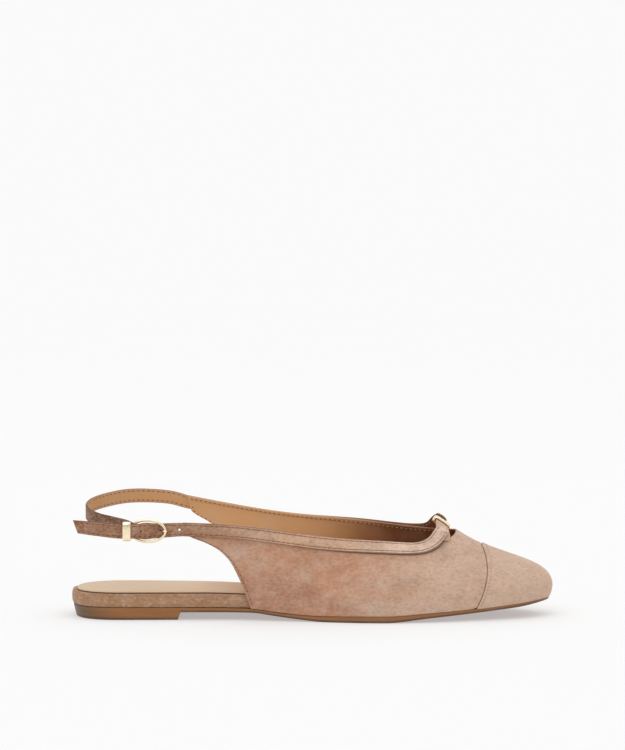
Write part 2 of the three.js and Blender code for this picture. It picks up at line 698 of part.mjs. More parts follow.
function freeCurve(stations, points) {
  const [before, start] = stations.slice(-2).map(centreOf);
  const curve = new THREE.CatmullRomCurve3([before, start, ...points], false, 'centripetal');
  curve.arcLengthDivisions = 400;
  const whole = curve.getLength();
  let skip = 0;
  while (curve.getPointAt(skip / whole).distanceTo(before) < start.distanceTo(before)) skip += 0.1;
  return { curve, whole, skip };
}

function freeStation(centre, forward, width, slant) {
  const across = new THREE.Vector3(0, 0, 1).addScaledVector(forward, -forward.z).normalize();
  const out = across.clone().cross(forward).normalize();
  const face = (depth) => Array.from({ length: STRIP_FACETS + 1 }, (_, k) => {
    const share = 0.5 - k / STRIP_FACETS;
    const point = centre.clone().addScaledVector(across, width * share);
    return point.addScaledVector(forward, slant * share).addScaledVector(out, depth * STRAP_THICKNESS);
  });
  return [face(-0.5), face(0.5)];
}

// Shares of a free strap's length over which it widens, and how late it narrows to its end
const STRAP_GROWTH = 0.25;
const END_TAPER = 6;

function strap(stations, points, width, endWidth, slant) {
  const { curve, whole, skip } = freeCurve(stations, points);
  const firstInner = stations.at(-1).inner[0];
  const firstOuter = stations.at(-1).outer[0];
  const outward = firstOuter.clone().sub(firstInner);
  const free = evenSteps(skip, whole, STRAP_STEP).slice(1).map((distance) => {
    const share = (distance - skip) / (whole - skip);
    const growth = Math.min(share / STRAP_GROWTH, 1);
    const taper = share ** END_TAPER;
    const size = BAND_WIDTH + (width - BAND_WIDTH) * growth + (endWidth - width) * taper;
    const forward = curve.getTangentAt(distance / whole);
    return freeStation(curve.getPointAt(distance / whole), forward, size, slant * taper);
  });
  const facing = outward.dot(free[0][1][0].clone().sub(free[0][0][0])) > 0 ? 1 : 0;
  const turned = free.map((sides) => ({ inner: sides[1 - facing], outer: sides[facing] }));
  return { solid: stationSolid([...stations, ...turned]), curve };
}

// Buckle: its bar stands upright at the outer side of the heel

const bar = new THREE.Vector3(
  xAt(BUCKLE_BAR.along),
  BUCKLE_BAR.across * HEEL_SEAT_WIDTH,
  BUCKLE_BAR.high * LATERAL_COLLAR,
);
const wire = WIRE_DIAMETER / 2;
const BAR_CHORD = 0.68;
const frameHalf = (BUCKLE_LENGTH - WIRE_DIAMETER) / (1 + BAR_CHORD);
const rimReach = frameHalf * (1 + BAR_CHORD);
const eyeRadius = wire + CLEARANCE + SLING_EYE_WALL;
const frameY = (share) => bar.y - BUCKLE_TILT * share;
const rimY = frameY(1);
const besideWire = wire + CLEARANCE + STRAP_THICKNESS / 2;
const strapOverBar = bar.y - eyeRadius - CLEARANCE - STRAP_THICKNESS / 2;

function buckleFrame() {
  const frameLine = new THREE.Curve();
  frameLine.getPoint = (t) => {
    const angle = 2 * Math.PI * t;
    const reach = Math.max(Math.cos(angle), -BAR_CHORD) * frameHalf + BAR_CHORD * frameHalf;
    const rise = (BUCKLE_HEIGHT / 2 - wire) * Math.sin(angle);
    const tilt = (-BUCKLE_TILT * reach) / rimReach;
    return new THREE.Vector3(bar.x + reach, bar.y + tilt, bar.z + rise);
  };
  return new THREE.TubeGeometry(frameLine, 36, wire, WIRE_SIDES, true);
}

// Strap of the outer side: behind the frame's rim, over its bar, then out as the tab

const lateralStations = bandStations(LATERAL_BAND);
const tabLine = [
  new THREE.Vector3(bar.x + rimReach, rimY + besideWire, bar.z + 0.1 * TAB_RISE),
  new THREE.Vector3(bar.x + 0.75 * rimReach, frameY(0.75) + besideWire, bar.z),
  new THREE.Vector3(bar.x + 0.16 * rimReach, strapOverBar + 0.2 * STRAP_THICKNESS, bar.z),
  new THREE.Vector3(bar.x, strapOverBar, bar.z),
  new THREE.Vector3(bar.x - 0.27 * TAB_LENGTH, strapOverBar, bar.z),
  new THREE.Vector3(bar.x - 0.6 * TAB_LENGTH, strapOverBar, bar.z + 0.45 * TAB_RISE),
  new THREE.Vector3(bar.x - TAB_LENGTH, strapOverBar, bar.z + TAB_RISE),
];
const buckleStrap = strap(lateralStations, tabLine, BUCKLE_STRAP_WIDTH, TAB_END_WIDTH, TAB_SLANT);

function strapCentreAt(x) {
  let [near, far] = [0, 1];
  for (let i = 0; i < 40; i += 1) {
    const middle = (near + far) / 2;
    if (buckleStrap.curve.getPoint(middle).x > x) near = middle;
    else far = middle;
  }
  return buckleStrap.curve.getPoint(near);
}

const PRONG_HOLE = 0.83;
const prongHoleX = bar.x + PRONG_HOLE * rimReach;
const prongRadius = PRONG_DIAMETER / 2;

function lateralBand() {
  let leather = toManifold(buckleStrap.solid);
  for (const step of [-1, 0, 1]) {
    const x = prongHoleX + step * HOLE_PITCH;
    const radius = HOLE_DIAMETER / 2;
    const punch = new THREE.CylinderGeometry(radius, radius, STRAP_THICKNESS * 5, 12);
    if (step === 0) punch.scale(1.6, 1, 1);
    const { y, z } = strapCentreAt(x);
    leather = leather.subtract(toManifold(punch.translate(x, y, z)));
  }
  return toGeometry(leather);
}

function bucklePin() {
  const hole = strapCentreAt(prongHoleX);
  const inside = hole.y + STRAP_THICKNESS / 2 + CLEARANCE + prongRadius;
  const outside = rimY - wire - CLEARANCE - prongRadius;
  const rimX = bar.x + rimReach;
  const course = [
    [bar.x + wire + CLEARANCE, bar.y],
    [bar.x + 0.35 * rimReach, bar.y + 0.2 * WIRE_DIAMETER],
    [prongHoleX - 1.2 * HOLE_DIAMETER, Math.max(inside, bar.y) + 0.1 * WIRE_DIAMETER],
    [prongHoleX - 0.5 * HOLE_DIAMETER, inside],
    [prongHoleX + 0.5 * HOLE_DIAMETER, hole.y - STRAP_THICKNESS],
    [rimX - wire, outside + 0.1 * WIRE_DIAMETER],
    [rimX + wire * 1.4, outside],
  ];
  const line = new THREE.CatmullRomCurve3(course.map(([x, y]) => new THREE.Vector3(x, y, hole.z)));
  const section = new THREE.Shape().absarc(0, 0, prongRadius, 0, 2 * Math.PI);
  return new THREE.ExtrudeGeometry(section, { steps: 16, curveSegments: WIRE_SIDES / 2, extrudePath: line });
}

// Sling: from the inner band round the heel, its end folded round the buckle's bar

function slingBand() {
  const route = SLING.map((row) => new THREE.Vector3(
    xAt(row.along),
    row.across * HEEL_SEAT_WIDTH,
    row.high * MEDIAL_COLLAR,
  ));
  const stations = bandStations(MEDIAL_BAND);
  const ribbon = toManifold(strap(stations, [...route, bar], SLING_WIDTH, SLING_END_WIDTH, 0).solid);
  const post = (radius, height) => {
    const cylinder = new THREE.CylinderGeometry(radius, radius, height, 20).rotateX(Math.PI / 2);
    return toManifold(cylinder.translate(bar.x, bar.y, bar.z));
  };
  const slotSize = PRONG_DIAMETER + 2 * CLEARANCE;
  const slot = new THREE.BoxGeometry(eyeRadius * 2, eyeRadius * 2, slotSize);
  slot.translate(bar.x + eyeRadius, bar.y + CLEARANCE, strapCentreAt(prongHoleX).z);
  const eye = ribbon.add(post(eyeRadius, SLING_END_WIDTH));
  return toGeometry(eye.subtract(post(wire + CLEARANCE, BUCKLE_HEIGHT)).subtract(toManifold(slot)));
}

// Keepers: a rounded metal loop round a strap, lying along the strap's run

function keeperLoop(strapWidth, length) {
  const frameShape = (width, depth, radius) => {
    const [x, y] = [width / 2, depth / 2];
    const outline = new THREE.Shape();
    outline.moveTo(-x + radius, -y);
    outline.lineTo(x - radius, -y);
    outline.absarc(x - radius, -y + radius, radius, -Math.PI / 2, 0);
    outline.absarc(x - radius, y - radius, radius, 0, Math.PI / 2);
    outline.absarc(-x + radius, y - radius, radius, Math.PI / 2, Math.PI);
    outline.absarc(-x + radius, -y + radius, radius, Math.PI, 1.5 * Math.PI);
    return outline;
  };
  const slotWidth = strapWidth + 2 * CLEARANCE;
  const slotDepth = STRAP_THICKNESS + 2.4 * CLEARANCE;
  const outer = frameShape(slotWidth + 2 * KEEPER_WALL, slotDepth + 2 * KEEPER_WALL, KEEPER_WALL);
  outer.holes.push(frameShape(slotWidth, slotDepth, CLEARANCE));
  const loop = new THREE.ExtrudeGeometry(outer, { depth: length, bevelEnabled: false, curveSegments: 3 });
  return loop.translate(0, 0, -length / 2);
}

function crossStrapStations() {
  const course = surfaceCourse(CROSS_STRAP, CROSS_STRAP_WIDTH);
  return evenSteps(0, course.length, STRAP_STEP).map((distance) => {
    const fromEnd = Math.min(distance, course.length - distance) + 0.2 * CROSS_STRAP_WIDTH;
    return surfaceStation(course, distance, roundedWidth(CROSS_STRAP_WIDTH, fromEnd));
  });
}

function throatKeeper() {
  const course = surfaceCourse(CROSS_STRAP, CROSS_STRAP_WIDTH);
  const middle = course.length * THROAT_KEEPER_PLACE;
  const [before, here, after] = [-1, 0, 1].map((d) => surfaceStation(course, middle + d, CROSS_STRAP_WIDTH));
  const forward = centreOf(after).sub(centreOf(before)).normalize();
  const across = here.outer[0].clone().sub(here.outer[STRIP_FACETS]).normalize();
  const out = forward.clone().cross(across).normalize();
  const square = out.clone().cross(forward);
  const place = new THREE.Matrix4().makeBasis(square, out, forward).setPosition(centreOf(here));
  return keeperLoop(CROSS_STRAP_WIDTH, THROAT_KEEPER_LENGTH).applyMatrix4(place);
}

function buckleKeeper() {
  const x = bar.x - eyeRadius - CLEARANCE - KEEPER_LENGTH / 2;
  const loop = keeperLoop(BUCKLE_STRAP_WIDTH, KEEPER_LENGTH).rotateZ(Math.PI / 2).rotateY(Math.PI / 2);
  return loop.rotateX(Math.PI / 2).translate(x, strapOverBar, strapCentreAt(x).z);
}

// Finished pieces

const materials = {
  suede: { color: 0xbb9279, roughness: 0.95, metalness: 0 },
  cap: { color: 0xc8aa95, roughness: 0.95, metalness: 0 },
  binding: { color: 0xaf8a70, roughness: 0.95, metalness: 0 },
  wrap: { color: 0xa98569, roughness: 0.95, metalness: 0 },
  sock: { color: 0xd5baa1, roughness: 0.6, metalness: 0 },
  unit: { color: 0x92673f, roughness: 0.5, metalness: 0 },
  gold: { color: 0xe8c48a, roughness: 0.25, metalness: 1 },
};

const shoe = new THREE.Group();

function addPiece(name, geometry, finish) {
  const mesh = new THREE.Mesh(geometry, new THREE.MeshStandardMaterial(materials[finish]));
  mesh.name = name;
  shoe.add(mesh);
}

addPiece('outsole', outsole(), 'unit');
addPiece('footbed', footbed(), 'wrap');
addPiece('sock_lining', sockLining(), 'sock');
addPiece('upper', upper(), 'suede');
addPiece('toe_cap', toeCap(), 'cap');
addPiece('cross_strap', stationSolid(crossStrapStations()), 'binding');
addPiece('lateral_band', lateralBand(), 'binding');
addPiece('sling_band', slingBand(), 'binding');
addPiece('buckle_frame', buckleFrame(), 'gold');
addPiece('buckle_prong', bucklePin(), 'gold');
addPiece('buckle_keeper', buckleKeeper(), 'gold');
addPiece('throat_keeper', throatKeeper(), 'gold');

export default shoe;
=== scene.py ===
"""Sling back flat, right shoe: its visible pieces, finishes and studio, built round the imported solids."""

import math
from functools import partial

import bmesh
import bpy
import numpy as np
from mathutils import Matrix, Vector


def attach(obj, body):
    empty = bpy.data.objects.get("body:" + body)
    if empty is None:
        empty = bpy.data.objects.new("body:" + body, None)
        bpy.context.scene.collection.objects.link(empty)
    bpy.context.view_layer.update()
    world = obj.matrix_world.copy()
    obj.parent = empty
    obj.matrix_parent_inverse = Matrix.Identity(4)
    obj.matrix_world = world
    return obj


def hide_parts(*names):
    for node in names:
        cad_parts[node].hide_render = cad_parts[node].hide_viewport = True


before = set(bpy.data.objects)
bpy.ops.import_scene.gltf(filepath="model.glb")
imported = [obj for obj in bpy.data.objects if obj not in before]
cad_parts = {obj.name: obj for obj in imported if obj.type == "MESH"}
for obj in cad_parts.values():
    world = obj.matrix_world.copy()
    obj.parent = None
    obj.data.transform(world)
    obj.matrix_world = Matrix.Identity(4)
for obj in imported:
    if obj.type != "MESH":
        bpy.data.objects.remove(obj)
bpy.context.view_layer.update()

bl_info = {
    "name": "Sling back flat",
    "version": (1, 0, 0),
    "blender": (4, 5, 0),
    "location": "3D View > Sidebar > Shoe",
    "description": "Builds a sling back flat round its packed solids",
    "category": "Object",
}

MM = 0.001


# Sizes and colours that a user would change


def size(name, description, millimetres):
    """A length property from its millimetres."""
    return bpy.props.FloatProperty(
        name=name, description=description, default=millimetres * MM, unit="LENGTH", precision=4
    )


def colour(name, description, red, green, blue):
    """A colour property from its screen values, 0 to 255."""
    linear = [((c / 255 + 0.055) / 1.055) ** 2.4 for c in (red, green, blue)]
    return bpy.props.FloatVectorProperty(
        name=name, description=description, default=linear, size=3, subtype="COLOR", min=0, max=1
    )


class ShoeSizes(bpy.types.PropertyGroup):
    """Driving sizes of the shoe."""

    last_length: size("Last length", "From the back of the heel to the toe", 251)
    heel_seat_width: size("Heel seat width", "Width of the last's bottom at the heel", 55)
    waist_width: size("Waist width", "Width of the last's bottom at the waist", 49)
    ball_width: size("Ball width", "Width of the last's bottom at the ball", 73)
    toe_width: size("Toe width", "Width that the toe's sections follow", 45)
    lateral_collar: size("Outer collar", "Height of the outer topline at the back", 52)
    medial_collar: size("Inner collar", "Height of the inner topline at the back", 60.2)
    throat_height: size("Throat height", "Height of the topline over the toes", 43.2)
    heel_length: size("Heel length", "Length of the heel block", 57)
    heel_front_slope: size("Heel front slope", "How far the heel's front leans", 1.5)
    waist_rise: size("Waist rise", "Height of the sole's underside at the waist", 4.1)
    toe_spring: size("Toe spring", "Height of the sole's underside at the toe", 8.6)
    sole_edge: size("Sole edge", "Thickness of the sole's strip", 2.5)
    sole_chamfer: size("Sole chamfer", "Rounding under the sole's edge", 0.7)
    sole_margin: size("Sole margin", "How far the sole stands out under the upper", 1.7)
    heel_inset: size("Heel inset", "How far the heel block stays inside the footbed", 1)
    heel_taper: size("Heel taper", "How much the heel block narrows to the floor", 1.5)
    footbed_heel: size("Footbed at the heel", "Thickness of the wrapped footbed at the heel", 6.9)
    footbed_forepart: size("Footbed at the ball", "Thickness of the footbed in front", 4.2)
    footbed_round: size("Footbed rounding", "Rounding of the footbed's wrapped side", 1.1)
    sock_thickness: size("Sock thickness", "Thickness of the leather sock", 1)
    sock_rim: size("Sock rim", "Rim of the wrap left round the sock", 3)
    upper_wall: size("Upper wall", "Thickness of suede and lining together", 2)
    cap_step: size("Cap step", "How far the toe cap stands out of the vamp", 0.3)
    band_width: size("Band width", "Width of the topline bands", 7)
    buckle_strap_width: size("Buckle strap width", "Width of the strap with the holes", 7.6)
    tab_end_width: size("Tab end width", "Width of the strap's slanted end", 6.6)
    sling_width: size("Sling width", "Width of the strap round the heel", 7.5)
    sling_end_width: size("Sling end width", "Width where it goes round the bar", 6)
    cross_strap_width: size("Cross strap width", "Width of the strap over the throat", 7.6)
    strap_thickness: size("Strap thickness", "Thickness of bands and straps", 1.2)
    tab_length: size("Tab length", "Strap from the buckle's bar to its end", 31)
    tab_rise: size("Tab rise", "How far the tab's end lies higher", 2.4)
    tab_slant: size("Tab slant", "Slant of the tab's end", 3.3)
    hole_diameter: size("Hole diameter", "Diameter of the punched holes", 1.8)
    hole_pitch: size("Hole pitch", "Distance between the holes", 10)
    sling_eye_wall: size("Sling eye wall", "Thickness of the fold round the bar", 0.9)
    buckle_length: size("Buckle length", "Length of the buckle's frame", 17.3)
    buckle_height: size("Buckle height", "Height of the buckle's frame", 12.7)
    buckle_tilt: size("Buckle tilt", "How far the frame's rim stands out from its bar", 2)
    buckle_swell: size("Swelling in the buckle", "How much wider the strap is inside the frame", 1.1)
    wire_diameter: size("Wire diameter", "Thickness of the buckle's wire", 1.5)
    prong_diameter: size("Pin diameter", "Thickness of the buckle's pin", 0.9)
    keeper_length: size("Keeper length", "Length of the keeper at the buckle", 4.2)
    keeper_wall: size("Keeper wall", "Thickness of the keepers' metal", 0.8)
    throat_keeper_length: size("Throat keeper length", "Length of the throat's keeper", 4.6)
    stitch_pitch: size("Stitch pitch", "Distance between two stitches", 2.7)
    stitch_length: size("Stitch length", "Thread that shows in a stitch", 1.7)
    stitch_inset: size("Stitch inset", "Distance of a row from the strap's edge", 1.25)
    thread_diameter: size("Thread diameter", "Thickness of the thread", 0.42)


class ShoeColours(bpy.types.PropertyGroup):
    """Colours of the shoe's leathers, sole, metal and studio."""

    quarter: colour("Quarter", "Suede at the back of the upper", 200, 148, 116)
    vamp: colour("Vamp", "Suede over the toes", 209, 176, 152)
    cap: colour("Toe cap", "Suede of the toe cap", 211, 180, 157)
    brushed: colour("Brushed nap", "Light patches of the suede", 213, 186, 167)
    # Laid nap; the same colour is also painted shade below the bands and in the stitch rows' troughs
    shaded: colour("Laid nap", "Dark patches of the suede", 158, 112, 90)
    band: colour("Bands", "Suede of the topline bands", 214, 174, 143)
    # Painted highlight where the bands rise to the throat
    band_front_highlight: colour("Bands in front", "Suede of the bands at the throat", 240, 214, 194)
    strap: colour("Straps", "Suede of the strap's free end", 146, 96, 62)
    lining: colour("Lining", "Leather inside upper and straps", 213, 162, 113)
    # Painted shade on the lining deep in the shoe, inside the heel and towards the toe
    shade: colour("Lining in front", "Leather deep inside the shoe", 126, 72, 43)
    sock: colour("Sock", "Leather of the sock", 215, 188, 159)
    wrap: colour("Footbed wrap", "Suede round the footbed", 168, 126, 88)
    sole: colour("Sole", "Rubber of the sole", 148, 94, 42)
    # Painted shade on the back of the heel block
    heel_back_shade: colour("Heel back", "Rubber at the back of the heel", 86, 66, 36)
    # Painted shadow on the sole's rounded underside; the sock's lower edge line takes this colour too
    under: colour("Sole underside", "Rubber at the sole's lower edge", 92, 62, 43)
    gold: colour("Gold", "Plating of buckle and keepers", 255, 238, 204)
    thread: colour("Outer thread", "Thread on the suede", 160, 106, 78)
    lining_thread: colour("Inner thread", "Thread on the lining", 214, 180, 142)
    # Needle holes; the same dark colour is painted shade under the bands, at strap edges and on the sling at
    # the heel, and the heel block's painted contact shadow
    needle: colour("Needle holes", "Leather pressed in by the needle", 84, 50, 34)
    floor: colour("Floor", "Paper under and behind the shoe", 250, 250, 250)


# The last: tables hold shares of the named sizes

LAST_OUTLINE = {
    "along": (0, 0.239, 0.378, 0.438, 0.538, 0.618, 0.677, 0.737, 0.797, 0.857, 0.916, 0.956, 1),
    "of": ("heel_seat_width",) + ("waist_width",) * 3 + ("ball_width",) * 6 + ("toe_width",) * 3,
    "lateral": (0.5, 0.541, 0.541, 0.571, 0.445, 0.493, 0.497, 0.473, 0.425, 0.363, 0.475, 0.388, 0.27),
    "medial": (0.5, 0.53, 0.459, 0.484, 0.4, 0.475, 0.503, 0.5, 0.462, 0.404, 0.54, 0.448, 0.32),
}
HEEL_ROUND = 2.25
TOE_ROUND = 2.4
TOE_ROUND_FROM = 0.92

SOLE_LINE = {
    "along": (0, 0.28, 0.378, 0.43, 0.486, 0.538, 0.657, 0.745, 0.813, 0.884, 0.936, 1),
    "rise": (1, 1, 0.99, 0.64, 0.24, 0, 0, 0, 0, 0, 0, 0),
    "spring": (0, 0, 0, 0, 0, 0, 0, 0.24, 0.41, 0.59, 0.73, 1),
    "edge": (1, 1, 0.86, 0.82, 0.96, 1.2, 1.36, 1.08, 0.92, 0.92, 1, 0.8),
    "bed": (1, 1, 0.88, 0.68, 0.45, 0.22, 0, 0, 0, 0, -0.1, -0.3),
}

RIBS = {
    "foot": (0.239, 0.378, 0.498, 0.598, 0.677, 0.749, 0.817, 0.884, 0.948),
    "top": (0.239, 0.371, 0.49, 0.59, 0.665, 0.715, 0.749, 0.779, 0.799),
    "rise": (0.33, 0.33, 0.33, 0.35, 0.38, 0.42, 0.46, 0.5, 0.53),
    "bulge": (0.014, 0.02, 0.027, 0.034, 0.041, 0.048, 0.062, 0.082, 0.103),
    "run": (0.1, 0.2, 0.4, 0.5, 0.55, 0.55, 0.52, 0.5, 0.5),
    "fall": (0.33, 0.33, 0.33, 0.33, 0.33, 0.35, 0.4, 0.45, 0.5),
}
TOE_RIB = {"top": 0.807, "rise": 0.55, "bulge": 0.115, "run": 0.495, "fall": 0.516}
THROAT_MIDDLE = 0.041

# Topline of each side: the first four ribs follow the collar's height, the others the throat's
LATERAL_TOPLINE = {
    "half": (0.397, 0.392, 0.373, 0.345, 0.31, 0.255, 0.214, 0.181, 0.11),
    "high": (1, 0.963, 0.875, 0.804, 0.921, 0.884, 0.9, 0.921, 0.963),
}
MEDIAL_TOPLINE = {
    "half": (0.397, 0.392, 0.378, 0.351, 0.312, 0.281, 0.26, 0.236, 0.175),
    "high": (1, 0.9, 0.832, 0.791, 1.046, 1.014, 1, 0.986, 0.991),
}
COLLAR_RIBS = 4

QUARTER_EDGE = {
    "at": (0, 0.34, 0.545, 0.69, 0.77, 0.85, 1),
    "foot": (0.38, 0.359, 0.341, 0.316, 0.287, 0.25, 0.239),
}
SOLE_PLAN = {"along": (0, 0.311, 0.44), "share": (0, 0, 1)}
SOCK_PLAN = {"along": (0, 0.36, 0.44), "share": (1, 1, 0.567)}
CAP_SEAM = {"foot": 0.832, "bow": 0.896, "bow_high": 0.6, "top": 0.858, "top_high": 0.93}

# Courses of bands and cross strap over the upper, as shares of the ribs, of their width and of a layer
LATERAL_BAND = {
    "round": (-0.288, -0.328, -0.375, -0.432, -0.488, -0.546, -0.62, -0.8, -1),
    "drop": (-0.84, -0.66, -0.33, 0.14, 0.4, 0.48, 0.5, 0.5, 0.5),
    "lift": (0.8, 1.05, 1.16, 0.75, 0.2, 0, 0, 0, 0),
}
MEDIAL_BAND = {
    "round": (0.272, 0.315, 0.368, 0.432, 0.488, 0.546, 0.62, 0.8, 1),
    "drop": (-0.98, -0.8, -0.45, 0.14, 0.4, 0.48, 0.5, 0.5, 0.5),
    "lift": (0.8, 1.1, 1.26, 0.75, 0.2, 0, 0, 0, 0),
}
CROSS_STRAP = {
    "round": (-0.362, -0.335, -0.305, -0.241, -0.15, 0, 0.131, 0.228, 0.302, 0.335, 0.362),
    "drop": (0.02, -0.3, -0.6, -0.95, -1.14, -1.18, -1.18, -1.05, -0.7, -0.36, 0),
    "lift": (0.08, 0.04, -0.3, -0.9, -1.3, -1.5, -1.4, -1, -0.4, 0.04, 0.08),
}
SLING = {
    "along": (0.207, 0.159, 0.112, 0.072, 0.044, 0.033, 0.041, 0.064, 0.096, 0.1235),
    "across": (0.567, 0.542, 0.473, 0.355, 0.191, 0, -0.191, -0.364, -0.484, -0.544),
    "high": (0.978, 0.998, 1, 0.978, 0.952, 0.92, 0.89, 0.867, 0.85, 0.829),
}

# The buckle: its bar's place in shares of last length, heel seat and collar, where the bar cuts the oval,
# and where the pin's hole lies between bar and rim
BUCKLE_BAR = {"along": 0.14, "across": -0.556, "high": 0.917}
BAR_CHORD = 0.68
PRONG_HOLE = 0.83

# Share of a punched hole's diameter that stays open in the leather
HOLE_SHOWN = 0.68

# Middle of the throat's keeper as a share of the cross strap's length, from its outer end
THROAT_KEEPER_PLACE = 0.41

# Gap between pieces that lie against each other, in mm
CLEARANCE = 0.3

# Ways of the straps: step on a band and reach of the swelling in mm, share of the free length over which a
# strap takes its width, power of its taper, and the place on the last in front of the free strap
BAND_STEP = 5
SWELL_REACH = 3.4
STRAP_GROWTH = 0.25
END_TAPER = 6
FREE_STRAP_TO = 0.24

# The upper's edges and seams in mm, and in shares of a rib where a seam is fully sewn and the skiving lies
SEWN_EDGE = 0.4
SEAM_RIDGE = 0.22
RIDGE_FROM_SEAM = 1.1
RIDGE_REACH = 0.6
CREASE_FADE = 8
CAP_BACKING = 0.8
TOPLINE_SKIVE = 0.75
SEAM_SEWN_FROM = 0.08
SKIVE_FROM = 0.72
SKIVE_OVER = 0.25

# Distance of the rows of thread from quarter edge, topline and cap seam, in mm
QUARTER_STITCH = 1.5
RIM_STITCH = 1.5
CAP_STITCH = 1.8

# Share of the footbed's height at which its wrap is widest, and rings of the sock's edge: mm inwards and
# share of the sock's thickness
WRAP_WIDEST = 0.55
SOCK_EDGE = ((0, 0.35), (0.12, 0.7), (0.45, 0.9), (1.1, 1))

# Samples along a rib
RIM_SAMPLES = 31
SEAM_SAMPLES = 500

# Soft troughs and ridges of the worn-in last shape: place on the upper, reach along it and depth in mm
CREASES = (
    {"round": -0.47, "up": 0.62, "long": 0.12, "wide": 0.045, "deep": -0.35},
    {"round": -0.56, "up": 0.5, "long": 0.07, "wide": 0.06, "deep": -0.25},
    {"round": -0.36, "up": 0.7, "long": 0.06, "wide": 0.08, "deep": -0.3},
    {"round": -0.62, "up": 0.25, "long": 0.1, "wide": 0.06, "deep": 0.22},
    {"round": -0.8, "up": 0.4, "long": 0.09, "wide": 0.12, "deep": -0.22},
    {"round": 0.5, "up": 0.6, "long": 0.12, "wide": 0.05, "deep": -0.35},
    {"round": 0.62, "up": 0.3, "long": 0.1, "wide": 0.07, "deep": 0.2},
    {"round": 0.8, "up": 0.45, "long": 0.1, "wide": 0.1, "deep": -0.2},
    {"round": 0, "up": 0.82, "long": 0.16, "wide": 0.05, "deep": -0.2},
)

# The studio: the sweep in mm, the distances in m between which the paper starts to glow, lamps with the place
# they shine from in m and their spread in degrees, and the camera with its target in m and in the picture
SWEEP = {"front": -3200, "bend": 1200, "radius": 900, "top": 3600, "half_width": 4000}
PAPER_NEAR, PAPER_FAR, PAPER_GLOW = 0.6, 1.6, 0.4
WORLD_STRENGTH = 0.535
LAMPS = (
    {"name": "top_box", "place": (0.15, 0.25, 1.0), "spread": 70, "strength": 0.76},
    {"name": "front_box", "place": (-0.35, -0.8, 1.0), "spread": 50, "strength": 0.7},
    {"name": "toe_box", "place": (0.9, -0.5, 0.7), "spread": 40, "strength": 0.25},
)
CAMERA = {
    "focal_pixels": 3772,
    "picture": (625, 750),
    "target": (0.0995, 0, 0.025),
    "target_pixel": (311.5, 567.07),
    "distance": 2.0,
    "elevation": 6.8,
}


# Curves through tables


def steady_curve(places, values):
    """A curve through a table that never overshoots it."""
    x, y = np.asarray(places, float), np.asarray(values, float)
    slope = np.diff(y) / np.diff(x)
    tangent = np.concatenate([slope[:1], np.zeros(len(x) - 2), slope[-1:]])
    for i in range(1, len(x) - 1):
        if slope[i - 1] * slope[i] > 0:
            tangent[i] = 2 / (1 / slope[i - 1] + 1 / slope[i])

    def curve(place):
        p = np.clip(place, x[0], x[-1])
        i = np.clip(np.searchsorted(x, p) - 1, 0, len(x) - 2)
        width = x[i + 1] - x[i]
        t = (p - x[i]) / width
        level = (1 + 2 * t) * (1 - t) ** 2 * y[i] + t * t * (3 - 2 * t) * y[i + 1]
        return level + width * t * (1 - t) * ((1 - t) * tangent[i] - t * tangent[i + 1])

    return curve


def fair_curve(places, values):
    """The smoothest curve through a table."""
    x, y = np.asarray(places, float), np.asarray(values, float)
    count = len(x)
    step = np.diff(x)
    slope = np.diff(y) / step
    matrix = np.eye(count)
    right = np.zeros(count)
    for i in range(1, count - 1):
        matrix[i, i - 1 : i + 2] = step[i - 1], 2 * (step[i - 1] + step[i]), step[i]
        right[i] = 6 * (slope[i] - slope[i - 1])
    bend = np.linalg.solve(matrix, right)

    def curve(place):
        p = np.clip(place, x[0], x[-1])
        i = np.clip(np.searchsorted(x, p) - 1, 0, count - 2)
        width = x[i + 1] - x[i]
        b = (p - x[i]) / width
        a = 1 - b
        sag = (a**3 - a) * bend[i] + (b**3 - b) * bend[i + 1]
        return a * y[i] + b * y[i + 1] + sag * width * width / 6

    return curve


def unit(vectors):
    """Vectors brought to length 1."""
    return vectors / np.maximum(np.linalg.norm(vectors, axis=-1, keepdims=True), 1e-12)


def smooth(share):
    """Soft step from 0 to 1."""
    t = np.clip(share, 0, 1)
    return t * t * (3 - 2 * t)


class Route:
    """A smooth route through points, walked by distance."""

    def __init__(self, points, samples=60):
        p = np.asarray(points, float)
        p = np.concatenate([[2 * p[0] - p[1]], p, [2 * p[-1] - p[-2]]])
        gaps = np.sqrt(np.linalg.norm(np.diff(p, axis=0), axis=1))
        t = np.linspace(0, 1, samples, endpoint=False)[:, None]
        line = []
        for i in range(1, len(p) - 2):
            before, here, after = gaps[i - 1], gaps[i], gaps[i + 1]
            leave = (p[i] - p[i - 1]) / before - (p[i + 1] - p[i - 1]) / (before + here)
            leave = (leave + (p[i + 1] - p[i]) / here) * here
            reach = (p[i + 1] - p[i]) / here - (p[i + 2] - p[i]) / (here + after)
            reach = (reach + (p[i + 2] - p[i + 1]) / after) * here
            square = -3 * p[i] + 3 * p[i + 1] - 2 * leave - reach
            cube = 2 * p[i] - 2 * p[i + 1] + leave + reach
            line.append(p[i] + leave * t + square * t**2 + cube * t**3)
        self.line = np.concatenate(line + [p[-2][None]])
        gaps = np.linalg.norm(np.diff(self.line, axis=0), axis=1)
        self.reach = np.concatenate([[0], np.cumsum(gaps)])
        self.length = self.reach[-1]

    def at(self, distance):
        return np.stack([np.interp(distance, self.reach, self.line[:, k]) for k in range(3)], -1)

    def forward(self, distance):
        return unit(self.at(distance + 0.2) - self.at(distance - 0.2))


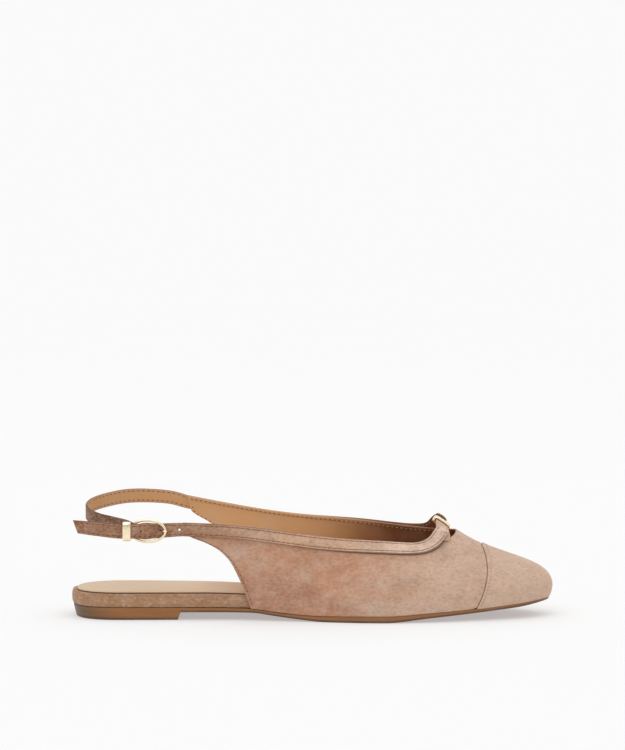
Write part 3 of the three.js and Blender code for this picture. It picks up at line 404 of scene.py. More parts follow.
class Last:
    """The last and what is worked out on it. Lengths in millimetres."""

    def __init__(self, sizes):
        for key in ShoeSizes.__annotations__:
            setattr(self, key, getattr(sizes, key) / MM)
        self.heel_centre = self.heel_seat_width / 2
        along = LAST_OUTLINE["along"]
        widths = np.array([getattr(self, name) for name in LAST_OUTLINE["of"]])
        self.lateral_half = fair_curve(along, widths * LAST_OUTLINE["lateral"])
        self.medial_half = fair_curve(along, widths * LAST_OUTLINE["medial"])
        line = {key: np.array(column) for key, column in SOLE_LINE.items()}
        along = line["along"]
        ground = line["rise"] * self.waist_rise + line["spring"] * self.toe_spring
        depth = self.footbed_forepart + line["bed"] * (self.footbed_heel - self.footbed_forepart)
        self.ground = steady_curve(along, ground)
        self.edge = steady_curve(along, line["edge"] * self.sole_edge)
        self.bed = steady_curve(along, depth)
        self.rear_rib = RIBS["foot"][0]
        self._set_ribs()
        edge = self.round_of(np.array(QUARTER_EDGE["foot"]))
        self.quarter_edge = steady_curve(QUARTER_EDGE["at"], edge)

    def _set_ribs(self):
        rounds = self.round_of(np.array(RIBS["foot"]))
        order = np.concatenate([-rounds, [0], rounds[::-1]])

        def both(row, toe):
            return np.concatenate([row, [toe], row[::-1]])

        def heights(topline, collar):
            follow = [collar] * COLLAR_RIBS + [self.throat_height] * (len(rounds) - COLLAR_RIBS)
            return np.array(follow) * topline["high"]

        def curve(values):
            return fair_curve(order, values)

        self.top_x = curve(self.x_at(both(RIBS["top"], TOE_RIB["top"])))
        lateral, medial = np.array(LATERAL_TOPLINE["half"]), np.array(MEDIAL_TOPLINE["half"])
        half = np.concatenate([-lateral, [THROAT_MIDDLE], medial[::-1]])
        self.top_y = curve(half * self.ball_width)
        lateral = heights(LATERAL_TOPLINE, self.lateral_collar)
        medial = heights(MEDIAL_TOPLINE, self.medial_collar)
        self.top_z = curve(np.concatenate([lateral, [self.throat_height], medial[::-1]]))
        self.rib_rise = curve(both(RIBS["rise"], TOE_RIB["rise"]))
        self.rib_bulge = curve(both(RIBS["bulge"], TOE_RIB["bulge"]) * self.ball_width)
        self.rib_run = curve(both(RIBS["run"], TOE_RIB["run"]))
        self.rib_fall = curve(both(RIBS["fall"], TOE_RIB["fall"]))

    # Plan and side view

    def x_at(self, along):
        return np.asarray(along) * self.last_length - self.heel_centre

    def feather(self, along):
        return self.ground(along) + self.edge(along)

    def bed_top(self, along):
        return self.feather(along) + CLEARANCE + self.bed(along)

    def outline(self, side, along):
        half = np.where(side < 0, self.lateral_half(along), self.medial_half(along))
        back = np.clip(1 - along * self.last_length / self.heel_centre, 0, 1)
        front = np.clip((along - TOE_ROUND_FROM) / (1 - TOE_ROUND_FROM), 0, 1)
        half = half * (1 - back**HEEL_ROUND) ** (1 / HEEL_ROUND)
        half = half * (1 - front**TOE_ROUND) ** (1 / TOE_ROUND)
        return np.stack([self.x_at(along), side * half, np.zeros_like(half)], -1)

    def outline_normal(self, side, along):
        step = 0.002
        ahead = self.outline(side, np.minimum(along + step, 1))
        way = ahead - self.outline(side, np.maximum(along - step, 0))
        normal = unit(np.stack([-side * way[..., 1], side * way[..., 0], np.zeros_like(along)], -1))
        normal[along <= step / 2] = (-1, 0, 0)
        normal[along >= 1 - step / 2] = (1, 0, 0)
        return normal

    def inset(self, side, along, depth, height):
        point = self.outline(side, along) - self.outline_normal(side, along) * depth[..., None]
        point[..., 2] = height
        return point

    # The upper's surface: round from the outer quarter at -1 over the toe to the inner quarter at 1

    def round_of(self, foot):
        share = np.minimum((foot - self.rear_rib) / (1 - self.rear_rib), 1)
        return 1 - 2 / math.pi * np.arcsin(share)

    def foot_of(self, place):
        return self.rear_rib + (1 - self.rear_rib) * np.sin(math.pi / 2 * (1 - np.abs(place)))

    def rib(self, place):
        side = np.where(place < 0, -1.0, 1.0)
        foot = self.foot_of(place)
        low = self.outline(side, foot)
        low[..., 2] = self.feather(foot) + CLEARANCE
        high = np.stack([self.top_x(place), self.top_y(place), self.top_z(place)], -1)
        height = high[..., 2] - low[..., 2]
        low_handle = low + self.outline_normal(side, foot) * self.rib_bulge(place)[..., None]
        low_handle[..., 2] += self.rib_rise(place) * height
        high_handle = high + (low - high) * self.rib_run(place)[..., None]
        high_handle[..., 2] = high[..., 2] - self.rib_fall(place) * height
        return low, low_handle, high_handle, high

    def surface(self, place, up):
        low, low_handle, high_handle, high = self.rib(place)
        t = np.asarray(up)[..., None]
        s = 1 - t
        return s**3 * low + 3 * s * s * t * low_handle + 3 * s * t * t * high_handle + t**3 * high

    def normal(self, place, up):
        step = 0.004
        along = self.surface(place, up + step) - self.surface(place, up - step)
        around = self.surface(place + step, up) - self.surface(place - step, up)
        return unit(np.cross(around, along))

    def wall(self, place, up, depth):
        normal = self.normal(place, up)
        level = normal * (1, 1, 0)
        normal = np.where((up <= 0)[..., None], unit(level), normal)
        return self.surface(place, up) + normal * depth[..., None]

    def column(self, column, up):
        """Where a column of the wall stands at a height, pulled in along the quarter's edge."""
        pull = (1 - self.quarter_edge(up)) * np.abs(column) ** 3
        return column * (1 - pull)

    def under_rim(self, place, drop):
        """Point on the upper a distance below its rim, or above it where drop is negative."""
        place, drop = np.broadcast_arrays(np.asarray(place, float), np.asarray(drop, float))
        up = np.linspace(0, 1, RIM_SAMPLES)
        line = self.surface(place[..., None], np.broadcast_to(up, place.shape + (RIM_SAMPLES,)))
        gaps = np.linalg.norm(np.diff(line, axis=-2), axis=-1)
        reach = np.concatenate([np.zeros(place.shape + (1,)), np.cumsum(gaps, -1)], -1)
        wanted = reach[..., -1] - np.maximum(drop, 0)
        i = np.clip((reach < wanted[..., None]).sum(-1) - 1, 0, RIM_SAMPLES - 2)
        start = np.take_along_axis(reach, i[..., None], -1)[..., 0]
        gap = np.take_along_axis(gaps, i[..., None], -1)[..., 0]
        inside = self.surface(place, (i + (wanted - start) / gap) * up[1])
        _, _, high_handle, high = self.rib(place)
        over = high + unit(high - high_handle) * -np.minimum(drop, 0)[..., None]
        return np.where((drop > 0)[..., None], inside, over)

    def rim_normal(self, place, drop):
        step = 0.004
        around = self.under_rim(place + step, drop) - self.under_rim(place - step, drop)
        along = self.under_rim(place, drop - CLEARANCE) - self.under_rim(place, drop + CLEARANCE)
        return unit(np.cross(around, along))

    def lifted(self, place, drop, lift):
        return self.under_rim(place, drop) + self.rim_normal(place, drop) * np.asarray(lift)[..., None]

    # The toe cap's seam

    def cap_edge(self, column, set_forward):
        """Share of the rib at which the cap's seam crosses it, 0 where it doesn't."""
        t = np.linspace(0, 1, 200)
        foot, bow, top = (self.x_at(CAP_SEAM[key]) for key in ("foot", "bow", "top"))
        seam_x = (1 - t) ** 2 * foot + 2 * t * (1 - t) * bow + t * t * top
        bow_z, top_z = (CAP_SEAM[key] * self.throat_height for key in ("bow_high", "top_high"))
        seam_z = 2 * t * (1 - t) * bow_z + t * t * top_z
        up = np.linspace(0, 0.999, SEAM_SAMPLES)
        shape = np.shape(column) + (SEAM_SAMPLES,)
        place = np.broadcast_to(np.asarray(column)[..., None], shape)
        point = self.wall(place, np.broadcast_to(up, shape), np.full(shape, self.upper_wall))
        ahead = point[..., 0] - np.interp(point[..., 2], seam_z, seam_x) - set_forward
        behind = ahead < 0
        i = np.argmax(behind, -1)
        here = np.take_along_axis(ahead, i[..., None], -1)[..., 0]
        before = np.take_along_axis(ahead, np.maximum(i - 1, 0)[..., None], -1)[..., 0]
        share = before / np.where(before == here, 1, before - here)
        return np.where(i > 0, (i - 1 + share) * up[1], 0)

    def cap_reach(self, side, set_forward):
        """Column at which the seam meets the sole on one side."""
        near, far = 0.0, 0.9
        for _ in range(30):
            middle = (near + far) / 2
            inside = self.cap_edge(np.array([side * middle]), set_forward)[0] > 0
            near, far = (middle, far) if inside else (near, middle)
        return near


class Course:
    """A strip's way over the upper, with its stations by distance from the throat."""

    def __init__(self, last, rows, width):
        self.last = last
        self.width = width
        self.end = len(rows["round"]) - 1
        places = np.arange(self.end + 1)
        layer = last.strap_thickness + CLEARANCE
        self.round = fair_curve(places, rows["round"])
        self.drop = fair_curve(places, np.array(rows["drop"]) * width)
        self.lift = fair_curve(places, last.upper_wall + CLEARANCE + np.array(rows["lift"]) * layer)
        self.times = np.linspace(0, self.end, 30 * self.end + 1)
        gaps = np.linalg.norm(np.diff(self.centre(self.times), axis=0), axis=1)
        self.reach = np.concatenate([[0], np.cumsum(gaps)])
        self.length = self.reach[-1]

    def centre(self, t):
        return self.last.lifted(self.round(t), self.drop(t), self.lift(t))

    def spots(self, distance, reach):
        """Places and drops of the strip's section: rows by distance, columns by reach from its middle."""
        last = self.last
        t = np.interp(distance, self.reach, self.times)
        forward = self.centre(np.minimum(t + 0.02, self.end)) - self.centre(np.maximum(t - 0.02, 0))
        place, drop, lift = self.round(t), self.drop(t), self.lift(t)
        around = (last.under_rim(place + 0.002, drop) - last.under_rim(place - 0.002, drop)) / 0.004
        down = (last.under_rim(place, drop + 0.1) - last.under_rim(place, drop - 0.1)) / 0.2
        out = unit(np.cross(last.rim_normal(place, drop), forward))
        out *= np.where((out * down).sum(-1, keepdims=True) > 0, -1, 1)
        basis = np.stack([around, down], -1)
        turn, fall = (np.linalg.pinv(basis) @ out[..., None])[..., 0].T
        places = place[:, None] + turn[:, None] * reach
        drops = drop[:, None] + fall[:, None] * reach
        return places, drops, lift

    def sections(self, distance, widths, across, depth):
        """Points of the strip: one row for each distance, one column for each place in the section."""
        places, drops, lift = self.spots(distance, widths[:, None] * across)
        return self.last.lifted(places, drops, lift[:, None] + depth * self.last.strap_thickness)


# Meshes

WELD = 0.00001
SHELL_ROWS = 56


def add_grid(bm, points, uv=None, material=0):
    """A grid laid over rows and columns of points in millimetres, with the distances as its map."""
    rows, columns = points.shape[:2]
    made = bmesh.ops.create_grid(bm, x_segments=columns - 1, y_segments=rows - 1, size=1)["verts"]
    layer = bm.loops.layers.uv.verify()
    place = {}
    for vert in made:
        j = round((vert.co.x + 1) / 2 * (columns - 1))
        i = round((vert.co.y + 1) / 2 * (rows - 1))
        place[vert] = (i, j)
        vert.co = Vector(points[i, j]) * MM
    for face in {face for vert in made for face in vert.link_faces}:
        corner = min(place[vert] for vert in face.verts)
        face.material_index = int(material if np.isscalar(material) else material[corner])
        if uv is not None:
            for loop in face.loops:
                loop[layer].uv = uv[place[loop.vert]]


def finish_piece(name, bm, finishes, node, sharp):
    """Closes the mesh, smooths it up to a sharp angle and hands it to the frame in a node's place."""
    bmesh.ops.remove_doubles(bm, verts=bm.verts, dist=WELD)
    bmesh.ops.dissolve_degenerate(bm, edges=bm.edges, dist=WELD / 2)
    bmesh.ops.holes_fill(bm, edges=[edge for edge in bm.edges if edge.is_boundary], sides=0)
    bmesh.ops.recalc_face_normals(bm, faces=bm.faces)
    for face in bm.faces:
        face.smooth = True
    for edge in bm.edges:
        edge.smooth = not (edge.is_manifold and edge.calc_face_angle(0) > math.radians(sharp))
    mesh = bpy.data.meshes.new(name)
    bm.to_mesh(mesh)
    bm.free()
    for finish in finishes:
        mesh.materials.append(finish)
    piece = bpy.data.objects.new(name, mesh)
    bpy.context.scene.collection.objects.link(piece)
    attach(piece, "root")
    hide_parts(node)
    return piece


def loaf(last, places, levels, dark_level=0, dark_from=-1, across=14):
    """Closed solid on the last's outline: each level gives its inset and height at a place.

    Faces below the dark level take the second finish from a place along the shoe on.
    """

    def at(side, level):
        inset, height = levels[level]
        return last.inset(np.full_like(places, side), places, inset(places), height(places))

    def sheet(start, end, level):
        shares = np.linspace(0, 1, across + 1)[None, :, None]
        return at(start, level)[:, None] * (1 - shares) + at(end, level)[:, None] * shares

    top = len(levels) - 1
    outer = [at(-1.0, k)[:, None] for k in range(1, top)]
    inner = [at(1.0, k)[:, None] for k in range(top - 1, 0, -1)]
    loop = [sheet(1.0, -1.0, 0), *outer, sheet(-1.0, 1.0, top), *inner, at(1.0, 0)[:, None]]
    points = np.concatenate(loop, axis=1)
    material = np.zeros(points.shape[:2], int)
    end = points.shape[1] - 1
    low = [*range(across, across + dark_level), *range(end - dark_level, end)]
    material[np.ix_(np.where(places > dark_from)[0], low)] = 1
    bm = bmesh.new()
    add_grid(bm, points, material=material)
    return bm


def even_places(count, breaks=()):
    """Places along the shoe, closer at both ends, with a place at each break."""
    even = (1 - np.cos(np.linspace(0, math.pi, count + 1))) / 2
    clear = [at for at in even if all(abs(at - stop) > 0.3 / count for stop in breaks)]
    return np.sort(np.concatenate([clear, breaks]))


def edge_roll(distance, radius):
    """How far a face sinks at a distance from a rounded edge."""
    left = radius - np.minimum(np.maximum(distance, 0), radius)
    return radius - np.sqrt(np.maximum(radius**2 - left**2, 0))


def crease_depth(place, up):
    """How far the creases raise the suede at places of the upper."""
    depth = np.zeros_like(up)
    for crease in CREASES:
        along = (place - crease["round"]) / crease["long"]
        beside = (up - crease["up"]) / crease["wide"]
        depth += crease["deep"] * np.exp(-(along**2) - beside**2)
    return depth


def band_edge(last, place):
    """How far below the rim the bands' lower edge lies, and far above it where there is no band."""
    drops = np.full_like(place, -99.0)
    for rows in (LATERAL_BAND, MEDIAL_BAND):
        course = Course(last, rows, last.band_width)
        distance = np.linspace(0, course.length, 80)
        reach = np.full((len(distance), 1), last.band_width / 2)
        both = [course.spots(distance, sign * reach) for sign in (-1, 1)]
        low = both[0] if both[0][1][-1, 0] > both[1][1][-1, 0] else both[1]
        around, down = low[0][:, 0], low[1][:, 0]
        order = np.argsort(around)
        inside = (place >= around.min()) & (place <= around.max())
        drops = np.where(inside, np.interp(place, around[order], down[order]), drops)
    return drops


def skive(up):
    """How much thinner the wall is on the lining's side towards the topline."""
    return TOPLINE_SKIVE * smooth((up - SKIVE_FROM) / SKIVE_OVER)


def shell(
    bm, last, columns, low, high, inner_depth, outer_depth, seam_low=0.0, seam_high=0.0, open_rear=False
):
    """Closed wall between two lines across the upper's ribs, a seam of 1 giving a line its sewn edge."""
    share = smooth(np.linspace(0, 1, SHELL_ROWS + 1))[:, None]
    up = low + (high - low) * share
    place = last.column(np.broadcast_to(columns, up.shape), up)
    points = last.surface(place, up)
    length = np.linalg.norm(np.diff(points, axis=0), axis=-1)
    from_low = np.concatenate([np.zeros((1, len(columns))), np.cumsum(length, axis=0)])
    from_high = from_low[-1] - from_low
    around = np.linalg.norm(np.diff(points, axis=1), axis=-1)
    side = np.concatenate([np.zeros((SHELL_ROWS + 1, 1)), np.cumsum(around, axis=1)], axis=1)
    inner = inner_depth + skive(up) * open_rear
    half = (outer_depth - inner) / 2
    roll = np.maximum(
        edge_roll(from_low, half + (SEWN_EDGE - half) * seam_low),
        edge_roll(from_high, half + (SEWN_EDGE - half) * seam_high),
    )
    if open_rear:
        roll = np.maximum(roll, edge_roll(np.minimum(side, side[:, -1:] - side), half))
    ridge = sum(
        seam * np.exp(-(((distance - RIDGE_FROM_SEAM) / RIDGE_REACH) ** 2))
        for distance, seam in ((from_low, seam_low), (from_high, seam_high))
    )
    outer = outer_depth - roll + SEAM_RIDGE * ridge
    if open_rear:
        outer = outer + crease_depth(place, up) * smooth(from_high / CREASE_FADE)
    outer_face, inner_face = last.wall(place, up, outer), last.wall(place, up, inner + roll)
    uv = np.stack([side, from_high - band_edge(last, place)], -1)
    closed = np.concatenate([inner_face[:1], outer_face, inner_face[-1:]])
    add_grid(bm, closed, np.concatenate([uv[:1], uv, uv[-1:]]), material=0)
    add_grid(bm, inner_face, material=1)


# Straps and their stitches

# A strap's section in mm: rings beside its edge and beside its stitch row, the trough along the row, and the
# crown of the outer face. The edge is rounded by a share of the thickness
EDGE_RINGS = np.array([0, 0.15, 0.45, 0.9])
ROW_RINGS = np.array([-0.35, 0, 0.35, 0.9])
INNER_RING = 1.6
ROW_TROUGH = 0.13
TROUGH_REACH = 0.3
STRAP_CROWN = 0.12
EDGE_ROUND = 0.42

# Stations along a strap in mm, close together at its round nose, and the width a stitch row needs
NOSE_STATIONS = (0, 0.02, 0.06, 0.14, 0.28, 0.5, 0.8, 1.2, 1.7, 2.3, 3)
STATION = 1.1
NARROWEST = 4

# How square a keeper's loop, its wall and its rims are: less is squarer
LOOP_CORNER, WALL_CORNER, RIM_CORNER = 0.5, 0.45, 0.25


def strap_section(width, thickness, inset):
    """Closed section of a strap: places across it as shares, and depths from its inner to its outer face."""
    middle = np.linspace((inset + INNER_RING) / width, 0.5, 3)
    half = np.concatenate([EDGE_RINGS / width, (inset + ROW_RINGS) / width, middle])
    across = np.concatenate([0.5 - half, (half - 0.5)[-2::-1]])
    from_edge = (0.5 - np.abs(across)) * width
    round_off = edge_roll(from_edge, thickness * EDGE_ROUND) / thickness
    trough = ROW_TROUGH * np.exp(-(((from_edge - inset) / TROUGH_REACH) ** 2)) / thickness
    crown = STRAP_CROWN * (1 - (2 * across) ** 2) / thickness
    outer = 1 - round_off - trough + crown
    inner = round_off + 0.6 * trough
    return (
        np.concatenate([across, across[::-1], across[:1]]),
        np.concatenate([outer, inner[::-1], outer[:1]]),
        len(across),
    )


def sweep_section(bm, last, width, distance, points_at):
    """Sweeps a strap's section along distances, its map in mm and its inner face in the second finish."""
    across, depth, outer_count = strap_section(width, last.strap_thickness, last.stitch_inset)
    points = points_at(distance, across, depth)
    inner = (np.arange(len(across)) >= outer_count).astype(int)
    uv = np.stack(np.broadcast_arrays(distance[:, None], across[None] * width), -1)
    add_grid(bm, points, uv, np.broadcast_to(inner, points.shape[:2]))


class Strap:
    """A band on the upper that runs on as a free strap, swept with one section."""

    def __init__(self, last, rows, points, width, end_width, slant=0):
        self.last = last
        self.course = Course(last, rows, last.band_width)
        self.width, self.end_width, self.slant = width, end_width, slant
        self.swell, self.swell_at = 0, 0
        band, bound = last.band_width, self.course.length
        gap = (bound - band) / math.ceil((bound - band) / BAND_STEP)
        ends = np.array([bound - gap, bound])
        middle = np.array([0.0])
        before, start = self.course.sections(ends, np.full(2, band), middle, middle + 0.5)[:, 0]
        self.route = Route([before, start, *points])
        walk = np.arange(0, 3 * BAND_STEP, 0.05)
        gone = np.linalg.norm(self.route.at(walk) - before, axis=1)
        self.skip = walk[np.argmax(gone >= np.linalg.norm(start - before))]
        self.free = self.route.length - self.skip
        self.length = bound + self.free
        outward = self.course.sections(ends[1:], np.full(1, band), middle, middle + 1)[0, 0] - start
        out = self._sides(np.array([self.skip]))[1]
        self.facing = 1 if (out[0] * outward).sum() > 0 else -1

    def distance_at(self, x):
        """Distance at which the free strap passes a place along the shoe."""
        walk = np.linspace(self.skip, self.route.length, 400)
        near = np.argmin(np.abs(self.route.at(walk)[:, 0] - x))
        return self.course.length + walk[near] - self.skip

    def _sides(self, distance):
        forward = self.route.forward(distance)
        across = unit(np.array([0, 0, 1]) - forward * forward[:, 2:])
        return across, unit(np.cross(across, forward))

    def widths(self, distance):
        """Widths at distances from the throat: a round nose, the band, and the free strap."""
        band = self.last.band_width
        nose = band * np.sqrt(1 - (1 - np.minimum(distance / (band / 2), 1)) ** 2)
        share = np.clip((distance - self.course.length) / self.free, 0, 1)
        growth = np.minimum(share / STRAP_GROWTH, 1)
        free = band + (self.width - band) * growth + (self.end_width - self.width) * share**END_TAPER
        free = free + self.swell * np.exp(-(((distance - self.swell_at) / SWELL_REACH) ** 2))
        return np.where(distance <= self.course.length, nose, free)

    def points(self, distance, across, depth):
        """Points of the strap's section at each distance, one row each."""
        widths = self.widths(distance)
        across = np.broadcast_to(across, (len(distance), np.shape(across)[-1]))
        on_upper = distance <= self.course.length
        made = np.empty(across.shape + (3,))
        made[on_upper] = self.course.sections(distance[on_upper], widths[on_upper], across[on_upper], depth)
        if not on_upper.all():
            walk = distance[~on_upper] - self.course.length + self.skip
            up, out = self._sides(walk)
            share = np.clip((walk - self.skip) / self.free, 0, 1) ** END_TAPER
            reach = widths[~on_upper, None] * across[~on_upper]
            centre = self.route.at(walk)[:, None] + up[:, None] * reach[..., None]
            slanted = self.slant * share[:, None] * across[~on_upper]
            centre = centre + self.route.forward(walk)[:, None] * slanted[..., None]
            lift = (depth - 0.5) * self.last.strap_thickness * self.facing
            made[~on_upper] = centre + out[:, None] * lift[None, :, None]
        return made

    def add_to(self, bm):
        """Lays the whole strap into a mesh."""
        start = NOSE_STATIONS[-1] + 0.8
        distance = np.concatenate([NOSE_STATIONS, np.arange(start, self.length, STATION), [self.length]])
        sweep_section(bm, self.last, self.width, distance, self._hugging_points)

    def _hugging_points(self, distance, across, depth):
        """The strap's points, with the band's inner face laid on the upper where nothing lies between."""
        last = self.last
        points = self.points(distance, across, depth)
        low = depth < 0.5
        rows = np.where((distance <= self.course.length) & (distance > 2.2 * last.band_width))[0]
        down = self.points(distance[rows], across, depth - (CLEARANCE - 0.03) / last.strap_thickness)
        points[np.ix_(rows, np.where(low)[0])] = down[:, low]
        return points

    def stitches(self, start, end, depth):
        """Both ends of every stitch on one face, with the way out of the leather."""
        last = self.last
        first = np.arange(start, end, last.stitch_pitch)
        face, above = np.array([depth]), np.array([2 * depth - 0.5])
        rows = []
        for side in (0.5, -0.5):
            share = side - math.copysign(last.stitch_inset, side) / np.maximum(self.widths(first), NARROWEST)
            here = self.points(first, share[:, None], face)[:, 0]
            tail = self.points(first + last.stitch_length, share[:, None], face)[:, 0]
            over = self.points(first, share[:, None], above)[:, 0]
            rows.append(np.stack([here, tail, over - here], 1))
        return np.concatenate(rows)


def buckle_bar(last):
    """Middle of the buckle's bar."""
    return np.array([
        last.x_at(BUCKLE_BAR["along"]),
        BUCKLE_BAR["across"] * last.heel_seat_width,
        BUCKLE_BAR["high"] * last.lateral_collar,
    ])


class Buckle:
    """Places of the buckle, in millimetres."""

    def __init__(self, last):
        self.bar = buckle_bar(last)
        self.wire = last.wire_diameter / 2
        self.half = (last.buckle_length - last.wire_diameter) / (1 + BAR_CHORD)
        self.rim_reach = self.half * (1 + BAR_CHORD)
        self.eye_radius = self.wire + CLEARANCE + last.sling_eye_wall
        self.tilt = last.buckle_tilt
        self.rim_y = self.bar[1] - self.tilt
        self.strap_y = self.bar[1] - self.eye_radius - CLEARANCE - last.strap_thickness / 2
        self.hole_x = self.bar[0] + PRONG_HOLE * self.rim_reach


def buckle_strap(last):
    """The outer band, which runs through the buckle to its slanted end."""
    buckle = Buckle(last)
    x, y, z = buckle.bar
    reach, tab = buckle.rim_reach, last.tab_length
    beside = buckle.wire + CLEARANCE + last.strap_thickness / 2
    over = buckle.strap_y
    line = [
        (x + reach, y - buckle.tilt + beside, z + 0.1 * last.tab_rise),
        (x + 0.75 * reach, y - 0.75 * buckle.tilt + beside, z),
        (x + 0.16 * reach, over + 0.2 * last.strap_thickness, z),
        (x, over, z),
        (x - 0.27 * tab, over, z),
        (x - 0.6 * tab, over, z + 0.45 * last.tab_rise),
        (x - tab, over, z + last.tab_rise),
    ]
    strap = Strap(last, LATERAL_BAND, line, last.buckle_strap_width, last.tab_end_width, last.tab_slant)
    strap.swell = last.buckle_swell
    strap.swell_at = strap.distance_at(buckle.bar[0] + 0.36 * reach)
    return strap


def sling_strap(last):
    """The inner band, which runs round the heel to the buckle's bar."""
    route = [
        (last.x_at(along), across * last.heel_seat_width, high * last.medial_collar)
        for along, across, high in zip(SLING["along"], SLING["across"], SLING["high"])
    ]
    return Strap(last, MEDIAL_BAND, [*route, buckle_bar(last)], last.sling_width, last.sling_end_width)


def cross_strap_sections(last, distance, across, depth):
    """Points of the strap over the throat, narrower towards its two ends."""
    width = last.cross_strap_width
    course = Course(last, CROSS_STRAP, width)
    from_end = np.minimum(distance, course.length - distance) + 0.2 * width
    nose = width * np.sqrt(1 - (1 - np.minimum(from_end / (width / 2), 1)) ** 2)
    return course.sections(distance, nose, np.broadcast_to(across, (len(distance), len(across))), depth)


def strap_centre(strap, x):
    """The free strap's centre above a place along the shoe."""
    line = strap.route.line
    keep = line[:, 0] < strap.last.x_at(FREE_STRAP_TO)
    order = np.argsort(line[keep, 0])
    return np.array([x, *(np.interp(x, line[keep][order, 0], line[keep][order, k]) for k in (1, 2))])


def add_tube(bm, path, radius, sides, closed=False):
    """A round tube along points."""
    if closed:
        forward = unit(np.roll(path, -1, 0) - np.roll(path, 1, 0))
    else:
        forward = unit(np.gradient(path, axis=0))
    beside = unit(np.cross(forward, np.broadcast_to([0, 1.0, 0.001], forward.shape)))
    out = unit(np.cross(beside, forward))
    angle = np.linspace(0, 2 * math.pi, sides + 1)
    radius = np.broadcast_to(radius, (len(path),))[:, None, None]
    cosine, sine = np.cos(angle)[None, :, None], np.sin(angle)[None, :, None]
    points = path[:, None] + radius * (beside[:, None] * cosine + out[:, None] * sine)
    if closed:
        points = np.concatenate([points, points[:1]])
    add_grid(bm, points)


def raised(value, power):
    """A value's size raised to a power, with its sign."""
    return np.sign(value) * np.abs(value) ** power


def add_loop(bm, centre, axes, slot, length, wall, crown):
    """A keeper: a rounded metal loop round a strap. axes are its across, out and along directions."""
    across, out, along = axes
    half_x, half_y = (slot[0] + wall) / 2, (slot[1] + wall) / 2
    turn = np.linspace(0, 2 * math.pi, 73)[:, None]
    x, y = raised(np.cos(turn), LOOP_CORNER), raised(np.sin(turn), LOOP_CORNER)
    middle = np.concatenate([x * half_x, y * half_y], 1)
    way = unit(np.concatenate([raised(x, 6), raised(y, 6)], 1))
    side = np.linspace(0, 2 * math.pi, 29)
    thick = raised(np.cos(side), WALL_CORNER) * wall / 2
    wide = raised(np.sin(side), RIM_CORNER) * length / 2
    dome = crown * (1 - (wide / (length / 2)) ** 2) * (thick > 0)
    flat = middle[:, None] + way[:, None] * (thick + dome)[None, :, None]
    points = centre + flat[..., :1] * across + flat[..., 1:] * out + wide[None, :, None] * along
    add_grid(bm, points)


def join_stitches(name, stitches, diameter):
    """One mesh of threads laid from point to point, each a slim rounded body."""
    bm = bmesh.new()
    bmesh.ops.create_uvsphere(bm, u_segments=6, v_segments=6, radius=1)
    bm.verts.ensure_lookup_table()
    body = np.array([vert.co[:] for vert in bm.verts])
    faces = [[vert.index for vert in face.verts] for face in bm.faces]
    bm.free()
    start, end, above = stitches[:, 0], stitches[:, 1], stitches[:, 2]
    half = np.linalg.norm(end - start, axis=1, keepdims=True) / 2
    forward = unit(end - start)
    side = unit(np.cross(above, forward))
    axes = np.stack([forward * half, side * diameter / 2, np.cross(forward, side) * diameter / 2], 1)
    points = (start + end)[:, None] / 2 + np.einsum("vk,nkd->nvd", body, axes)
    joined = [[corner + k * len(body) for corner in face] for k in range(len(stitches)) for face in faces]
    mesh = bpy.data.meshes.new(name)
    mesh.from_pydata((points.reshape(-1, 3) * MM).tolist(), [], joined)
    mesh.shade_smooth()
    return mesh


# Finishes


class Shade:
    """A number in a finish. Sums, products and quotients of it add Math nodes."""

    def __init__(self, finish, socket):
        self.finish = finish
        self.socket = socket

    def _math(self, operation, *values):
        node = self.finish.node("ShaderNodeMath", {"operation": operation}, dict(enumerate(values)))
        return Shade(self.finish, node.outputs[0])

    def __add__(self, other):
        return self._math("ADD", self, other)

    def __radd__(self, other):
        return self._math("ADD", other, self)

    def __sub__(self, other):
        return self._math("SUBTRACT", self, other)

    def __rsub__(self, other):
        return self._math("SUBTRACT", other, self)

    def __mul__(self, other):
        return self._math("MULTIPLY", self, other)

    def __rmul__(self, other):
        return self._math("MULTIPLY", other, self)

    def __truediv__(self, other):
        return self._math("DIVIDE", self, other)

    def fraction(self):
        return self._math("FRACT", self)

    def size(self):
        return self._math("ABSOLUTE", self)

    def between(self, low, high):
        """0 at low and below, 1 at high and above, soft in between."""
        settings = {"interpolation_type": "SMOOTHSTEP"}
        values = {"Value": self, "From Min": low, "From Max": high}
        node = self.finish.node("ShaderNodeMapRange", settings, values)
        return Shade(self.finish, node.outputs["Result"])


